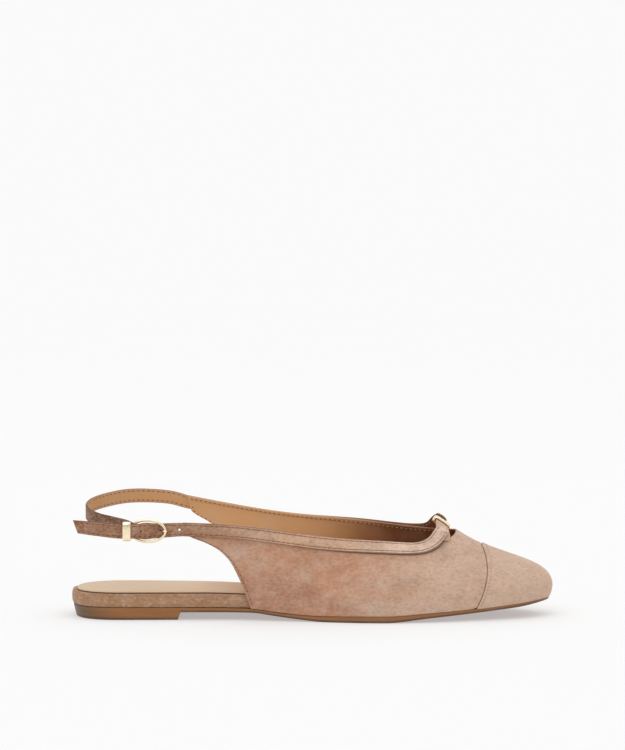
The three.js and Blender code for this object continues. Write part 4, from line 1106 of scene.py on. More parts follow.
class Finish:
    """A material that is built node by node on the object's own coordinates."""

    def __init__(self, name):
        self.material = bpy.data.materials.new(name)
        self.material.use_nodes = True
        self.tree = self.material.node_tree
        self.tree.nodes.clear()
        self.place = self.node("ShaderNodeTexCoord").outputs["Object"]
        split = self.node("ShaderNodeSeparateXYZ", {}, {"Vector": self.place})
        self.x, self.y, self.z = (Shade(self, split.outputs[axis]) for axis in "XYZ")

    def node(self, kind, settings=None, values=None):
        """Adds a node with its settings first, then the values or links of its sockets."""
        made = self.tree.nodes.new(kind)
        for key, value in (settings or {}).items():
            setattr(made, key, value)
        for key, value in (values or {}).items():
            source = value.socket if isinstance(value, Shade) else value
            if isinstance(source, bpy.types.NodeSocket):
                self.tree.links.new(source, made.inputs[key])
            else:
                made.inputs[key].default_value = source
        return made

    def noise(self, size_mm, detail=2.0, rough=0.5, stretch=(1, 1, 1), shift=0.0):
        """Cloudy noise from 0 to 1 with patches of about a size."""
        scale = [share / (size_mm * MM) for share in stretch]
        values = {"Vector": self.place, "Scale": scale, "Location": [shift] * 3}
        placed = self.node("ShaderNodeMapping", {}, values).outputs[0]
        values = {"Vector": placed, "Scale": 1.0, "Detail": detail, "Roughness": rough}
        return Shade(self, self.node("ShaderNodeTexNoise", {}, values).outputs[0])

    def on_map(self):
        """Both places on the piece's own map, in millimetres."""
        split = self.node("ShaderNodeSeparateXYZ", {}, {"Vector": self.node("ShaderNodeUVMap").outputs[0]})
        return [Shade(self, split.outputs[axis]) for axis in "XY"]

    def mix(self, factor, first, second, blend="MIX"):
        """A colour between two colours."""
        values = {0: factor, 6: self._colour(first), 7: self._colour(second)}
        settings = {"data_type": "RGBA", "blend_type": blend, "clamp_factor": True}
        return self.node("ShaderNodeMix", settings, values).outputs[2]

    @staticmethod
    def _colour(value):
        return value if isinstance(value, bpy.types.NodeSocket) else (*value, 1.0)

    def bump(self, height, strength, depth_mm, normal=None):
        """Relief of a height, laid over another relief."""
        values = {"Height": height, "Strength": strength, "Distance": depth_mm * MM}
        if normal is not None:
            values["Normal"] = normal
        return self.node("ShaderNodeBump", {}, values).outputs[0]

    def shade(self, colour, roughness, normal, constants):
        """Closes the finish with its surface and gives its material."""
        values = {"Base Color": colour, "Roughness": roughness, "Normal": normal}
        values.update(constants)
        principled = self.node("ShaderNodeBsdfPrincipled", {}, values)
        self.node("ShaderNodeOutputMaterial", {}, {"Surface": principled.outputs[0]})
        return self.material


# Sheen of the nap, how much darker it is where it lies flat, and the stretch and limits of its clouds
NAP = {
    "Sheen Weight": 0.3,
    "Sheen Roughness": 0.45,
    "Sheen Tint": (0.95, 0.8, 0.7, 1),
    "Specular IOR Level": 0.12,
}
LAID_NAP = (0.62, 0.55, 0.52)
NAP_STRETCH = (0.8, 1, 1.3)
NAP_CLOUD = (0.38, 0.8)
GOLD_WORN = (0.62, 0.4, 0.16)


def patch(finish, x_mm, z_mm, wide_mm, high_mm):
    """1 in the middle of an oval place in side view, 0 outside."""
    along = (finish.x / MM - x_mm) / wide_mm
    up = (finish.z / MM - z_mm) / high_mm
    return 1 - (along * along + up * up).between(0.0, 1.0)


# Patches of the upper's nap in side view, in mm
LIGHT_PATCHES = (
    {"x": 134, "z": 6, "wide": 20, "high": 7, "much": 0.8},
    {"x": 60, "z": 35, "wide": 11, "high": 7, "much": 0.55},
    {"x": 133, "z": 25, "wide": 9, "high": 8, "much": 0.35},
    {"x": 94, "z": 25, "wide": 9, "high": 6, "much": 0.3},
    {"x": 160, "z": 8, "wide": 22, "high": 7, "much": 0.3},
    {"x": 176, "z": 30, "wide": 14, "high": 12, "much": 0.3},
)
DARK_PATCHES = (
    {"x": 84, "z": 14, "wide": 26, "high": 13, "much": 0.6},
    {"x": 112, "z": 8, "wide": 16, "high": 8, "much": 0.35},
    {"x": 72, "z": 24, "wide": 16, "high": 12, "much": 0.25},
    {"x": 150, "z": 20, "wide": 14, "high": 8, "much": 0.2},
    {"x": 166, "z": 34, "wide": 12, "high": 4, "much": 0.2},
)


def nap_clouds(finish, base, clouds, tone, blend="MIX"):
    """Clouds of the nap laid over a colour. Each has its size in mm, its shift and its share."""
    for grain, shift, share in clouds:
        cloud = finish.noise(grain, 2.5, 0.55, NAP_STRETCH, shift)
        base = finish.mix(cloud.between(*NAP_CLOUD) * share, base, tone, blend)
    return base


def suede(name, colours, tone, light=0.5, dark=0.35, fine=1.0):
    """Short nap: brushed and laid patches, fine mottling, and a bump of short fibres."""
    finish = Finish(name)
    brushed = ((16, 0, 0.7 * light), (6, 2, 0.75 * light), (1.7, 3, 0.4 * fine))
    laid = ((12, 5, 0.8 * dark), (5, 7, 0.9 * dark), (1.5, 9, 0.5 * fine))
    base = nap_clouds(finish, tone(finish), brushed, colours.brushed)
    base = nap_clouds(finish, base, laid, LAID_NAP, "MULTIPLY")
    fibre = finish.noise(0.5, 4.0, 0.75) + 0.8 * finish.noise(2.0, 3.0, 0.6)
    normal = finish.bump(fibre, 0.6, 0.26)
    rough = 0.85 + 0.12 * finish.noise(6, 2.0)
    return finish, base, rough, normal


def suede_finish(name, colours, tone, **looks):
    """Suede of one colour."""
    finish, base, rough, normal = suede(name, colours, lambda _: tone, **looks)
    return finish.shade(base, rough, normal, NAP)


def upper_tone(finish, colours):
    """The upper's colour: darker quarters, a lighter front and the patches of the nap."""
    base = finish.mix(finish.x.between(0.118, 0.168), colours.quarter, colours.vamp)
    for table, tone in ((LIGHT_PATCHES, colours.brushed), (DARK_PATCHES, colours.shaded)):
        for row in table:
            mask = patch(finish, row["x"], row["z"], row["wide"], row["high"])
            broken = mask * (0.5 + 0.5 * finish.noise(7, 3.0, 0.6, shift=row["x"]).between(0.4, 0.6))
            base = finish.mix(broken * row["much"], base, tone)
    return base


def upper_finish(colours):
    """Suede of the upper, with a groove and painted shade along the bands' lower edges."""
    finish, base, rough, normal = suede("upper_suede", colours, lambda f: upper_tone(f, colours))
    _, below = finish.on_map()
    from_edge = (below - 0.1).size()
    # Painted shade: a dark line just below the bands' lower edges, which the bump also sinks as a groove
    line = 1 - from_edge.between(0.1, 0.5)
    base = finish.mix(line * 0.65, base, colours.needle)
    # Painted shade: a wider, fainter darkening below the bands
    soft = 1 - from_edge.between(0.2, 2.2)
    base = finish.mix(soft * 0.15, base, colours.shaded)
    return finish.shade(base, rough, finish.bump(1 - line, 0.5, 0.3, normal), NAP)


def needle_rows(finish, last, width, colour, colours):
    """Needle holes along both edges of a strap, on its own map in millimetres, with painted shade in the
    rows' troughs and at the edges.
    """
    along, across = finish.on_map()
    shift = last.stitch_pitch / 2 - last.stitch_length / 2 - 0.1
    step = ((along + shift) / last.stitch_pitch).fraction()
    beside = (step - 0.5).size() * last.stitch_pitch
    row = (across.size() - (width / 2 - last.stitch_inset)).size()
    hole = (1 - beside.between(0.3, 0.62)) * (1 - row.between(0.16, 0.34))
    trough = 1 - row.between(0.1, 0.6)
    edge = across.size().between(width / 2 - 0.45, width / 2 - 0.15)
    # Painted shade in the rows' troughs and along the strap's edges
    shaded = finish.mix(trough * 0.3, colour, colours.shaded)
    shaded = finish.mix(edge * 0.6, shaded, colours.needle)
    return finish.mix(hole * 0.7, shaded, colours.needle), hole


def strap_tone(finish, colours, behind):
    """Bands with a painted highlight in front and darker towards the free end; behind adds painted shade at
    the heel.
    """
    # Painted highlight on the bands at the throat
    base = finish.mix(finish.x.between(0.11, 0.155) * 0.85, colours.band, colours.band_front_highlight)
    base = finish.mix((1 - finish.x.between(0.015, 0.095)) * 0.95, base, colours.strap)
    # Painted shade on the strap where it passes round the heel, as much as behind
    return finish.mix((1 - finish.x.between(0.01, 0.05)) * behind, base, colours.needle)


def strap_finish(name, colours, last, width, behind):
    """Suede of bands and straps with its needle holes."""
    def tone(finish):
        return strap_tone(finish, colours, behind)

    finish, base, rough, normal = suede(name, colours, tone, light=0.4, dark=0.5, fine=1.2)
    base, hole = needle_rows(finish, last, width, base, colours)
    return finish.shade(base, rough, finish.bump(1 - hole, 0.6, 0.25, normal), NAP)


def lining_finish(name, colours, last=None, width=0):
    """Smooth tan leather with fine pores and painted shade deep in the shoe. A strap's has its needle rows.
    """
    finish = Finish(name)
    # Painted shade inside the heel
    back = 1 - finish.x.between(-0.01, 0.06)
    base = finish.mix(back * 0.15, colours.lining, colours.shade)
    # Painted shade deep in the shoe towards the throat and toe
    base = finish.mix(finish.x.between(0.1, 0.152) * 0.92, base, colours.shade)
    base = finish.mix(finish.noise(14, 3.0).between(0.45, 0.7) * 0.15, base, colours.sock)
    pores = finish.noise(0.5, 3.0, 0.6)
    normal = finish.bump(pores, 0.25, 0.12)
    if last is not None:
        base, hole = needle_rows(finish, last, width, base, colours)
        normal = finish.bump(1 - hole, 0.6, 0.25, normal)
    return finish.shade(base, 0.5 + 0.15 * pores, normal, {"Specular IOR Level": 0.3})


def sock_finish(colours):
    """Matt pale leather, with painted shade under the upper."""
    finish = Finish("sock_leather")
    base = finish.mix(finish.noise(28, 3.0).between(0.4, 0.75) * 0.25, colours.sock, colours.lining)
    base = finish.mix(finish.noise(0.8, 2.0).between(0.5, 0.8) * 0.15, base, colours.wrap)
    # Painted shade where the upper covers the sock, forward of the waist
    base = finish.mix(finish.x.between(0.03, 0.075) * 0.45, base, colours.strap)
    normal = finish.bump(finish.noise(0.7, 3.0, 0.6), 0.25, 0.1)
    return finish.shade(base, 0.52 + 0.12 * finish.noise(5), normal, {"Specular IOR Level": 0.3})


def sole_finish(name, rubber, colours):
    """Moulded rubber: satin, with painted shade at the heel's back and a painted contact shadow along its
    lower edge.
    """
    finish = Finish(name)
    # Painted shade on the back of the heel block
    back = 1 - finish.x.between(-0.024, 0.0)
    base = finish.mix(back * 0.85, rubber, colours.heel_back_shade)
    # Painted contact shadow along the heel block's lower edge
    low = (1 - finish.z.between(0.0007, 0.002)) * (1 - finish.x.between(0.03, 0.034))
    base = finish.mix(low * 0.85, base, colours.needle)
    streak = finish.noise(3, 3.0, 0.5, (0.15, 0.15, 1))
    base = finish.mix(streak.between(0.45, 0.7) * 0.18, base, colours.wrap)
    grain = finish.noise(0.6, 3.0, 0.6)
    normal = finish.bump(grain, 0.15, 0.08)
    return finish.shade(base, 0.38 + 0.16 * grain, normal, {"Coat Roughness": 0.35, "Coat Weight": 0.12})


def gold_finish(colours):
    """Polished pale plating, a little worn."""
    finish = Finish("gold_metal")
    wear = finish.noise(1.6, 3.0)
    base = finish.mix(wear.between(0.4, 0.8) * 0.25, colours.gold, GOLD_WORN)
    normal = finish.bump(finish.noise(0.9, 2.0), 0.08, 0.05)
    return finish.shade(base, 0.16 + 0.14 * wear, normal, {"Metallic": 1.0})


def thread_finish(name, thread, colours):
    """Twisted matt thread."""
    finish = Finish(name)
    twist = finish.noise(0.25, 2.0, 0.5)
    base = finish.mix(twist.between(0.4, 0.7) * 0.35, thread, colours.strap)
    return finish.shade(base, 0.7 + 0.1 * twist, finish.bump(twist, 0.4, 0.06), {"Sheen Weight": 0.2})


def paper_finish(colours):
    """Matt paper with a painted glow that lightens and cools the shadows near the shoe, glowing evenly
    farther away.
    """
    finish = Finish("paper")
    away = (finish.x * finish.x + finish.y * finish.y).between(PAPER_NEAR**2, PAPER_FAR**2)
    # Near the shoe the paper is partly lit and partly a cool painted glow that lightens its shadows; far away
    # it only glows
    warm = [c * (1 - PAPER_GLOW) * tint for c, tint in zip(colours.floor, (1.02, 1, 0.98))]
    cool_shadow_glow = [c * PAPER_GLOW * tint for c, tint in zip(colours.floor, (0.97, 1, 1.03))]
    base = finish.mix(away, warm, (0, 0, 0))
    values = {
        "Emission Color": finish.mix(away, cool_shadow_glow, colours.floor),
        "Emission Strength": 1.0,
        "Specular IOR Level": 0.0,
    }
    grain = finish.noise(1.5, 2.0)
    return finish.shade(base, 0.9, finish.bump(grain, 0.02, 0.05), values)


def tools_of(context):
    """The last worked out from the scene's sizes, and the scene's colours."""
    return Last(context.scene.shoe_sizes), context.scene.shoe_colours


# One operator for each piece or group of like pieces

TOUCH = 1e-6

# Holes of the buckle strap in mm: the one nearest the bar is blind
PUNCH_LENGTH = 6
BLIND_DEPTH = 0.75

# The sling's fold round the bar in mm: its play on the wire and the rounding of its edges
EYE_PLAY = 0.12
EYE_ROUND = 0.3

# Rows of thread in mm: where the straps' rows end before the strap does, and the other rows' pitches with the
# shares of a pitch that show as thread and as the mark between two threads
TAB_ROW_END, SLING_ROW_END = 1.5, 6
QUARTER_PITCH, CAP_PITCH, LINING_PITCH = 2.3, 1.8, 2.5
THREAD_SHARE, MARK_SHARE, MARK_FROM = 0.62, 0.34, 0.64


class SHOE_OT_outsole(bpy.types.Operator):
    """Unit sole with its heel block, waist, ball and toe spring"""

    bl_idname = "shoe.outsole"
    bl_label = "Outsole"

    def execute(self, context):
        last, colours = tools_of(context)
        front = last.heel_length / last.last_length
        strip = (last.heel_length + last.heel_front_slope) / last.last_length
        margin = last.sole_margin + last.heel_inset
        plan = steady_curve(SOLE_PLAN["along"], SOLE_PLAN["share"])

        def in_heel(along):
            return along <= front + TOUCH

        def floor(along):
            return np.where(in_heel(along), 0, last.ground(along))

        def side(along):
            return np.where(in_heel(along), last.heel_inset, last.heel_inset - margin * plan(along))

        def foot(along):
            return side(along) + np.where(in_heel(along), last.heel_taper, 0)

        def level(share, inset):
            def height(along):
                low = floor(along) + last.sole_chamfer
                return low + share * (last.feather(along) - low)

            def pulled(along):
                return foot(along) * (1 - share) + side(along) * share + inset

            return pulled, height

        chamfer = last.sole_chamfer
        levels = [
            (lambda a: foot(a) + chamfer, floor),
            (lambda a: foot(a) + 0.3 * chamfer, lambda a: floor(a) + 0.3 * chamfer),
            level(0, 0),
            level(0.22, 0),
            level(0.6, 0),
            level(0.86, 0),
            level(1, 0.25),
        ]
        # The lowest levels in front of the heel take the dark second finish: painted shadow on the sole's
        # rounded underside
        bm = loaf(last, even_places(150, [front, strip]), levels, 3, front)
        finishes = [
            sole_finish("unit_sole", colours.sole, colours),
            sole_finish("sole_underside_shadow", colours.under, colours),
        ]
        finish_piece("outsole_rubber", bm, finishes, "outsole", 32)
        return {"FINISHED"}


class SHOE_OT_footbed(bpy.types.Operator):
    """Footbed with its suede wrap, and the leather sock on it"""

    bl_idname = "shoe.footbed"
    bl_label = "Footbed and sock"

    def execute(self, context):
        last, colours = tools_of(context)

        def depth(share):
            return lambda a: last.feather(a) + CLEARANCE + share * last.bed(a)

        def inset(share):
            return lambda a: np.full_like(a, CLEARANCE + share * last.footbed_round)

        def pulled_in(share):
            return 1 - math.sqrt(1 - 0.98 * (abs(share - WRAP_WIDEST) / WRAP_WIDEST) ** 2)

        sides = [(inset(pulled_in(share)), depth(share)) for share in np.linspace(0, 1, 13)]
        places = even_places(150)
        wrap = suede_finish("wrap_suede", colours, colours.wrap, light=0.3, dark=0.25, fine=1.2)
        finish_piece("footbed_wrap", loaf(last, places, sides), [wrap], "footbed", 60)

        rim = steady_curve(SOCK_PLAN["along"], np.array(SOCK_PLAN["share"]) * last.sock_rim)

        def ring(pulled, height):
            return lambda a: rim(a) + pulled, lambda a: last.bed_top(a) + height

        steps = [(pulled, CLEARANCE + share * last.sock_thickness) for pulled, share in SOCK_EDGE]
        levels = [ring(*step) for step in ((0, 0.05), *steps)]
        # The sock's lower edge takes a dark second finish, a thin line where it meets the wrap
        bm = loaf(last, places, levels, 1)
        finishes = [sock_finish(colours), thread_finish("sock_edge", colours.under, colours)]
        finish_piece("sock", bm, finishes, "sock_lining", 60)
        return {"FINISHED"}


class SHOE_OT_upper(bpy.types.Operator):
    """Vamp and quarters in one shell, with the lining inside"""

    bl_idname = "shoe.upper"
    bl_label = "Upper"

    def execute(self, context):
        last, colours = tools_of(context)
        outer_reach, inner_reach = last.cap_reach(-1, 0), last.cap_reach(1, 0)
        steps = np.linspace(0, 1, 81) ** 1.7
        middle = np.linspace(-outer_reach, inner_reach, 110)
        columns = np.concatenate([
            -1 + (1 - outer_reach) * steps[:-1],
            middle,
            1 - (1 - inner_reach) * steps[-2::-1],
        ])
        low = last.cap_edge(columns, 0)
        bm = bmesh.new()
        seam = smooth(low / SEAM_SEWN_FROM)
        shell(bm, last, columns, low, np.ones_like(low), 0, last.upper_wall, seam_low=seam, open_rear=True)
        high = np.minimum(last.cap_edge(middle, 0) + 0.02, 0.98)
        shell(bm, last, middle, np.zeros_like(high), high, -0.03, CAP_BACKING)
        finishes = [upper_finish(colours), lining_finish("lining", colours)]
        finish_piece("upper_suede_shell", bm, finishes, "upper", 75)
        return {"FINISHED"}


class SHOE_OT_toe_cap(bpy.types.Operator):
    """Toe cap in front of its seam"""

    bl_idname = "shoe.toe_cap"
    bl_label = "Toe cap"

    def execute(self, context):
        last, colours = tools_of(context)
        reach = [last.cap_reach(side, CLEARANCE) for side in (-1, 1)]
        spread = np.sin(np.linspace(-1, 1, 141) * math.pi / 2) * 0.35 + np.linspace(-1, 1, 141) * 0.65
        columns = np.where(spread < 0, spread * reach[0], spread * reach[1])
        high = last.cap_edge(columns, CLEARANCE)
        bm = bmesh.new()
        bedding, face = CAP_BACKING + CLEARANCE, last.upper_wall + last.cap_step
        seam = smooth(high / SEAM_SEWN_FROM)
        shell(bm, last, columns, np.zeros_like(high), high, bedding, face, seam_high=seam)
        finishes = [
            suede_finish("cap_suede", colours, colours.cap, light=0.45, dark=0.22),
            lining_finish("cap_lining", colours),
        ]
        finish_piece("toe_cap_suede", bm, finishes, "toe_cap", 75)
        return {"FINISHED"}


class SHOE_OT_bands(bpy.types.Operator):
    """Outer band with its buckle strap, and inner band with the strap round the heel"""

    bl_idname = "shoe.bands"
    bl_label = "Bands and straps"

    def execute(self, context):
        last, colours = tools_of(context)
        buckle = Buckle(last)
        strap = buckle_strap(last)
        bm = bmesh.new()
        strap.add_to(bm)
        width = last.buckle_strap_width
        finishes = [
            strap_finish("band_suede", colours, last, width, 0.0),
            lining_finish("band_lining", colours, last, width),
        ]
        piece = finish_piece("outer_band", bm, finishes, "lateral_band", 70)
        for step in (-1, 0, 1):
            x = buckle.hole_x + step * last.hole_pitch
            before = last.strap_thickness / 2 + PUNCH_LENGTH / 2 - BLIND_DEPTH if step < 0 else 0
            centre = strap_centre(strap, x) - np.array([0, before, 0])
            self.punch(piece, centre, last.hole_diameter * HOLE_SHOWN / 2)

        sling = sling_strap(last)
        bm = bmesh.new()
        sling.add_to(bm)
        self.add_eye(bm, buckle, last)
        width = last.sling_width
        finishes = [
            # Painted shade on the sling round the heel
            strap_finish("sling_suede", colours, last, width, 0.65),
            lining_finish("sling_lining", colours, last, width),
        ]
        finish_piece("sling", bm, finishes, "sling_band", 70)
        return {"FINISHED"}

    @staticmethod
    def punch(piece, centre, radius):
        """Cuts one round hole across the strap."""
        bm = bmesh.new()
        size = {"radius1": radius * MM, "radius2": radius * MM, "depth": PUNCH_LENGTH * MM}
        bmesh.ops.create_cone(bm, cap_ends=True, segments=24, **size)
        bmesh.ops.rotate(bm, verts=bm.verts, matrix=Matrix.Rotation(math.pi / 2, 3, "X"))
        bmesh.ops.translate(bm, verts=bm.verts, vec=Vector(centre) * MM)
        mesh = bpy.data.meshes.new("punch")
        bm.to_mesh(mesh)
        bm.free()
        cutter = bpy.data.objects.new("punch", mesh)
        bpy.context.scene.collection.objects.link(cutter)
        cut = piece.modifiers.new("hole", "BOOLEAN")
        cut.operation = "DIFFERENCE"
        cut.solver = "EXACT"
        cut.object = cutter
        bpy.context.view_layer.update()
        dressed = piece.evaluated_get(bpy.context.evaluated_depsgraph_get())
        made = bpy.data.meshes.new_from_object(dressed)
        piece.modifiers.clear()
        piece.data = made
        bpy.data.objects.remove(cutter)

    @staticmethod
    def add_eye(bm, buckle, last):
        """The strap's end folded round the buckle's bar."""
        turn = np.linspace(0, 2 * math.pi, 41)[:, None]
        half = last.sling_end_width / 2
        inner, outer = buckle.wire + EYE_PLAY, buckle.eye_radius
        bevel = outer - EYE_ROUND
        radius = np.array([inner, bevel, outer, outer, outer, bevel, inner, inner, inner])
        height = np.array([-1, -1, -0.9, 0, 0.9, 1, 1, 0, -1]) * half
        points = np.stack([
            buckle.bar[0] + np.cos(turn) * radius,
            buckle.bar[1] + np.sin(turn) * radius,
            np.broadcast_to(buckle.bar[2] + height, (len(turn), len(height))),
        ], -1)
        add_grid(bm, points)


class SHOE_OT_cross_strap(bpy.types.Operator):
    """Strap across the throat"""

    bl_idname = "shoe.cross_strap"
    bl_label = "Cross strap"

    def execute(self, context):
        last, colours = tools_of(context)
        width = last.cross_strap_width
        distance = np.linspace(0, Course(last, CROSS_STRAP, width).length, 60)
        bm = bmesh.new()
        sweep_section(bm, last, width, distance, partial(cross_strap_sections, last))
        finishes = [
            suede_finish("cross_suede", colours, colours.band, light=0.25, dark=0.3),
            lining_finish("cross_lining", colours),
        ]
        finish_piece("cross_strap_suede", bm, finishes, "cross_strap", 60)
        return {"FINISHED"}


class SHOE_OT_buckle(bpy.types.Operator):
    """Oval frame with its bar, the pin, and both keepers"""

    bl_idname = "shoe.buckle"
    bl_label = "Buckle and keepers"

    def execute(self, context):
        last, colours = tools_of(context)
        buckle = Buckle(last)
        gold = gold_finish(colours)
        strap = buckle_strap(last)
        self.add_frame(last, buckle, gold)
        self.add_pin(last, buckle, gold, strap)

        slot = (last.buckle_strap_width + 2 * CLEARANCE, last.strap_thickness + 2.4 * CLEARANCE)
        x = buckle.bar[0] - buckle.eye_radius - CLEARANCE - last.keeper_length / 2
        centre = np.array([x, buckle.strap_y, strap_centre(strap, x)[2]])
        axes = (np.array([0, 0, 1.0]), np.array([0, -1.0, 0]), np.array([1.0, 0, 0]))
        bm = bmesh.new()
        add_loop(bm, centre, axes, slot, last.keeper_length, last.keeper_wall, 0.2)
        finish_piece("strap_keeper", bm, [gold], "buckle_keeper", 60)

        middle = THROAT_KEEPER_PLACE * Course(last, CROSS_STRAP, last.cross_strap_width).length
        flat = np.array([0.5, 0, -0.5])
        rows = cross_strap_sections(last, middle + np.array([-1.0, 0, 1]), flat, np.full(3, 0.5))
        along = unit(rows[2, 1] - rows[0, 1])
        across = unit(rows[1, 0] - rows[1, 2])
        out = unit(np.cross(along, across))
        slot = (last.cross_strap_width + 2 * CLEARANCE, slot[1])
        bm = bmesh.new()
        axes = (np.cross(out, along), out, along)
        add_loop(bm, rows[1, 1], axes, slot, last.throat_keeper_length, last.keeper_wall, 0.5)
        finish_piece("throat_loop", bm, [gold], "throat_keeper", 60)
        return {"FINISHED"}

    @staticmethod
    def add_frame(last, buckle, gold):
        turn = np.linspace(0, 2 * math.pi, 128, endpoint=False)
        reach = np.maximum(np.cos(turn), -BAR_CHORD) * buckle.half + BAR_CHORD * buckle.half
        path = np.stack([
            buckle.bar[0] + reach,
            buckle.bar[1] - buckle.tilt * reach / buckle.rim_reach,
            buckle.bar[2] + (last.buckle_height / 2 - buckle.wire) * np.sin(turn),
        ], -1)
        bm = bmesh.new()
        add_tube(bm, path, buckle.wire, 16, closed=True)
        finish_piece("buckle_ring", bm, [gold], "buckle_frame", 60)

    @staticmethod
    def add_pin(last, buckle, gold, strap):
        hole = strap_centre(strap, buckle.hole_x)
        radius = last.prong_diameter / 2
        x, y = buckle.bar[:2]
        reach, wire, rim = buckle.rim_reach, last.wire_diameter, buckle.bar[0] + buckle.rim_reach
        inside = hole[1] + last.strap_thickness / 2 + CLEARANCE + radius
        outside = buckle.rim_y - buckle.wire - CLEARANCE - radius
        course = [
            (x + buckle.wire + CLEARANCE, y),
            (x + 0.35 * reach, y + 0.2 * wire),
            (buckle.hole_x - 1.2 * last.hole_diameter, max(inside, y) + 0.1 * wire),
            (buckle.hole_x - 0.5 * last.hole_diameter, inside),
            (buckle.hole_x + 0.5 * last.hole_diameter, hole[1] - last.strap_thickness),
            (rim - buckle.wire, outside + 0.1 * wire),
            (rim + buckle.wire * 1.4, outside),
        ]
        route = Route([(px, py, hole[2]) for px, py in course])
        walk = np.linspace(0, route.length, 60)
        tip = np.sqrt(np.clip((route.length - walk) / 0.5, 0.05, 1))
        bm = bmesh.new()
        add_tube(bm, route.at(walk), radius * tip * 1.1, 12)
        finish_piece("buckle_pin", bm, [gold], "buckle_prong", 60)


class SHOE_OT_stitches(bpy.types.Operator):
    """Thread of every stitch on bands, straps, quarter edges and toe cap"""

    bl_idname = "shoe.stitches"
    bl_label = "Stitches"

    def execute(self, context):
        last, colours = tools_of(context)
        outer = thread_finish("outer_thread", colours.thread, colours)
        inner = thread_finish("inner_thread", colours.lining_thread, colours)
        mark = thread_finish("needle_mark", colours.needle, colours)
        cap_thread = thread_finish("cap_thread", colours.shaded, colours)
        straps = ((buckle_strap(last), TAB_ROW_END), (sling_strap(last), SLING_ROW_END))
        for name, depth, thread in (("outer_rows", 1.0, outer), ("inner_rows", 0.0, inner)):
            rows = [strap.stitches(last.band_width, strap.length - tail, depth) for strap, tail in straps]
            self.sew(name, np.concatenate(rows), last.thread_diameter, thread)
        quarter = [self.quarter_line(last, side, last.upper_wall, 0.5) for side in (-1, 1)]
        inside = [self.quarter_line(last, side, 0, -0.5) for side in (-1, 1)] + [self.rim_line(last)]
        for name, lines, pitch, thread in (
            ("quarter_rows", quarter, QUARTER_PITCH, outer),
            ("cap_row", [self.cap_line(last)], CAP_PITCH, cap_thread),
            ("lining_rows", inside, LINING_PITCH, inner),
        ):
            rows = [self.along(*line, pitch, THREAD_SHARE, 0) for line in lines]
            self.sew(name, np.concatenate(rows), 0.9 * last.thread_diameter, thread)
            if thread is not cap_thread:
                marks = [self.along(*line, pitch, MARK_SHARE, MARK_FROM) for line in lines]
                self.sew(name + "_marks", np.concatenate(marks), 1.5 * last.thread_diameter, mark)
        return {"FINISHED"}

    @staticmethod
    def sew(name, stitches, diameter, thread):
        """Lays threads as one piece."""
        mesh = join_stitches(name, stitches, diameter)
        mesh.materials.append(thread)
        piece = bpy.data.objects.new(name, mesh)
        bpy.context.scene.collection.objects.link(piece)
        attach(piece, "root")

    @staticmethod
    def along(line, above, pitch, share, shift):
        """Stitches at a pitch along a line of points, as long as a share of it and shifted by another."""
        gaps = np.linalg.norm(np.diff(line, axis=0), axis=1)
        reach = np.concatenate([[0], np.cumsum(gaps)])
        length = share * pitch
        start = np.arange(shift * pitch, reach[-1] - length, pitch)

        def at(points, distance):
            return np.stack([np.interp(distance, reach, points[:, k]) for k in range(3)], -1)

        here = at(line, start)
        return np.stack([here, at(line, start + length), at(above, start) - here], 1)

    @staticmethod
    def quarter_line(last, side, depth, out):
        """A line along a quarter's rear edge."""
        up = np.linspace(0.03, 0.86 if out > 0 else 0.91, 160)
        edge = last.surface(last.column(np.full_like(up, side), up), up)
        inward = last.surface(last.column(np.full_like(up, side * 0.99), up), up)
        step = 0.01 * QUARTER_STITCH / np.linalg.norm(inward - edge, axis=1)
        place = last.column(side * (1 - step), up)
        depth = depth + skive(up) * (out < 0)
        return last.wall(place, up, depth), last.wall(place, up, depth + out)

    @staticmethod
    def rim_line(last):
        """A line under the inner topline, on the lining."""
        place = np.linspace(0.3, 0.995, 300)
        drop = np.full_like(place, RIM_STITCH)
        lift = np.full_like(place, 0.5)
        return last.lifted(place, drop, lift), last.lifted(place, drop, lift - 0.5)

    @staticmethod
    def cap_line(last):
        """A line along the cap's seam, on the cap."""
        reach = [last.cap_reach(side, CLEARANCE) for side in (-1, 1)]
        columns = np.linspace(-reach[0] * 0.97, reach[1] * 0.97, 200)
        top = last.cap_edge(columns, CLEARANCE + CAP_STITCH)
        keep = top > 0.02
        columns, top = columns[keep], top[keep]
        lift = np.full_like(top, last.upper_wall + last.cap_step)
        return last.wall(columns, top, lift), last.wall(columns, top, lift + 0.5)


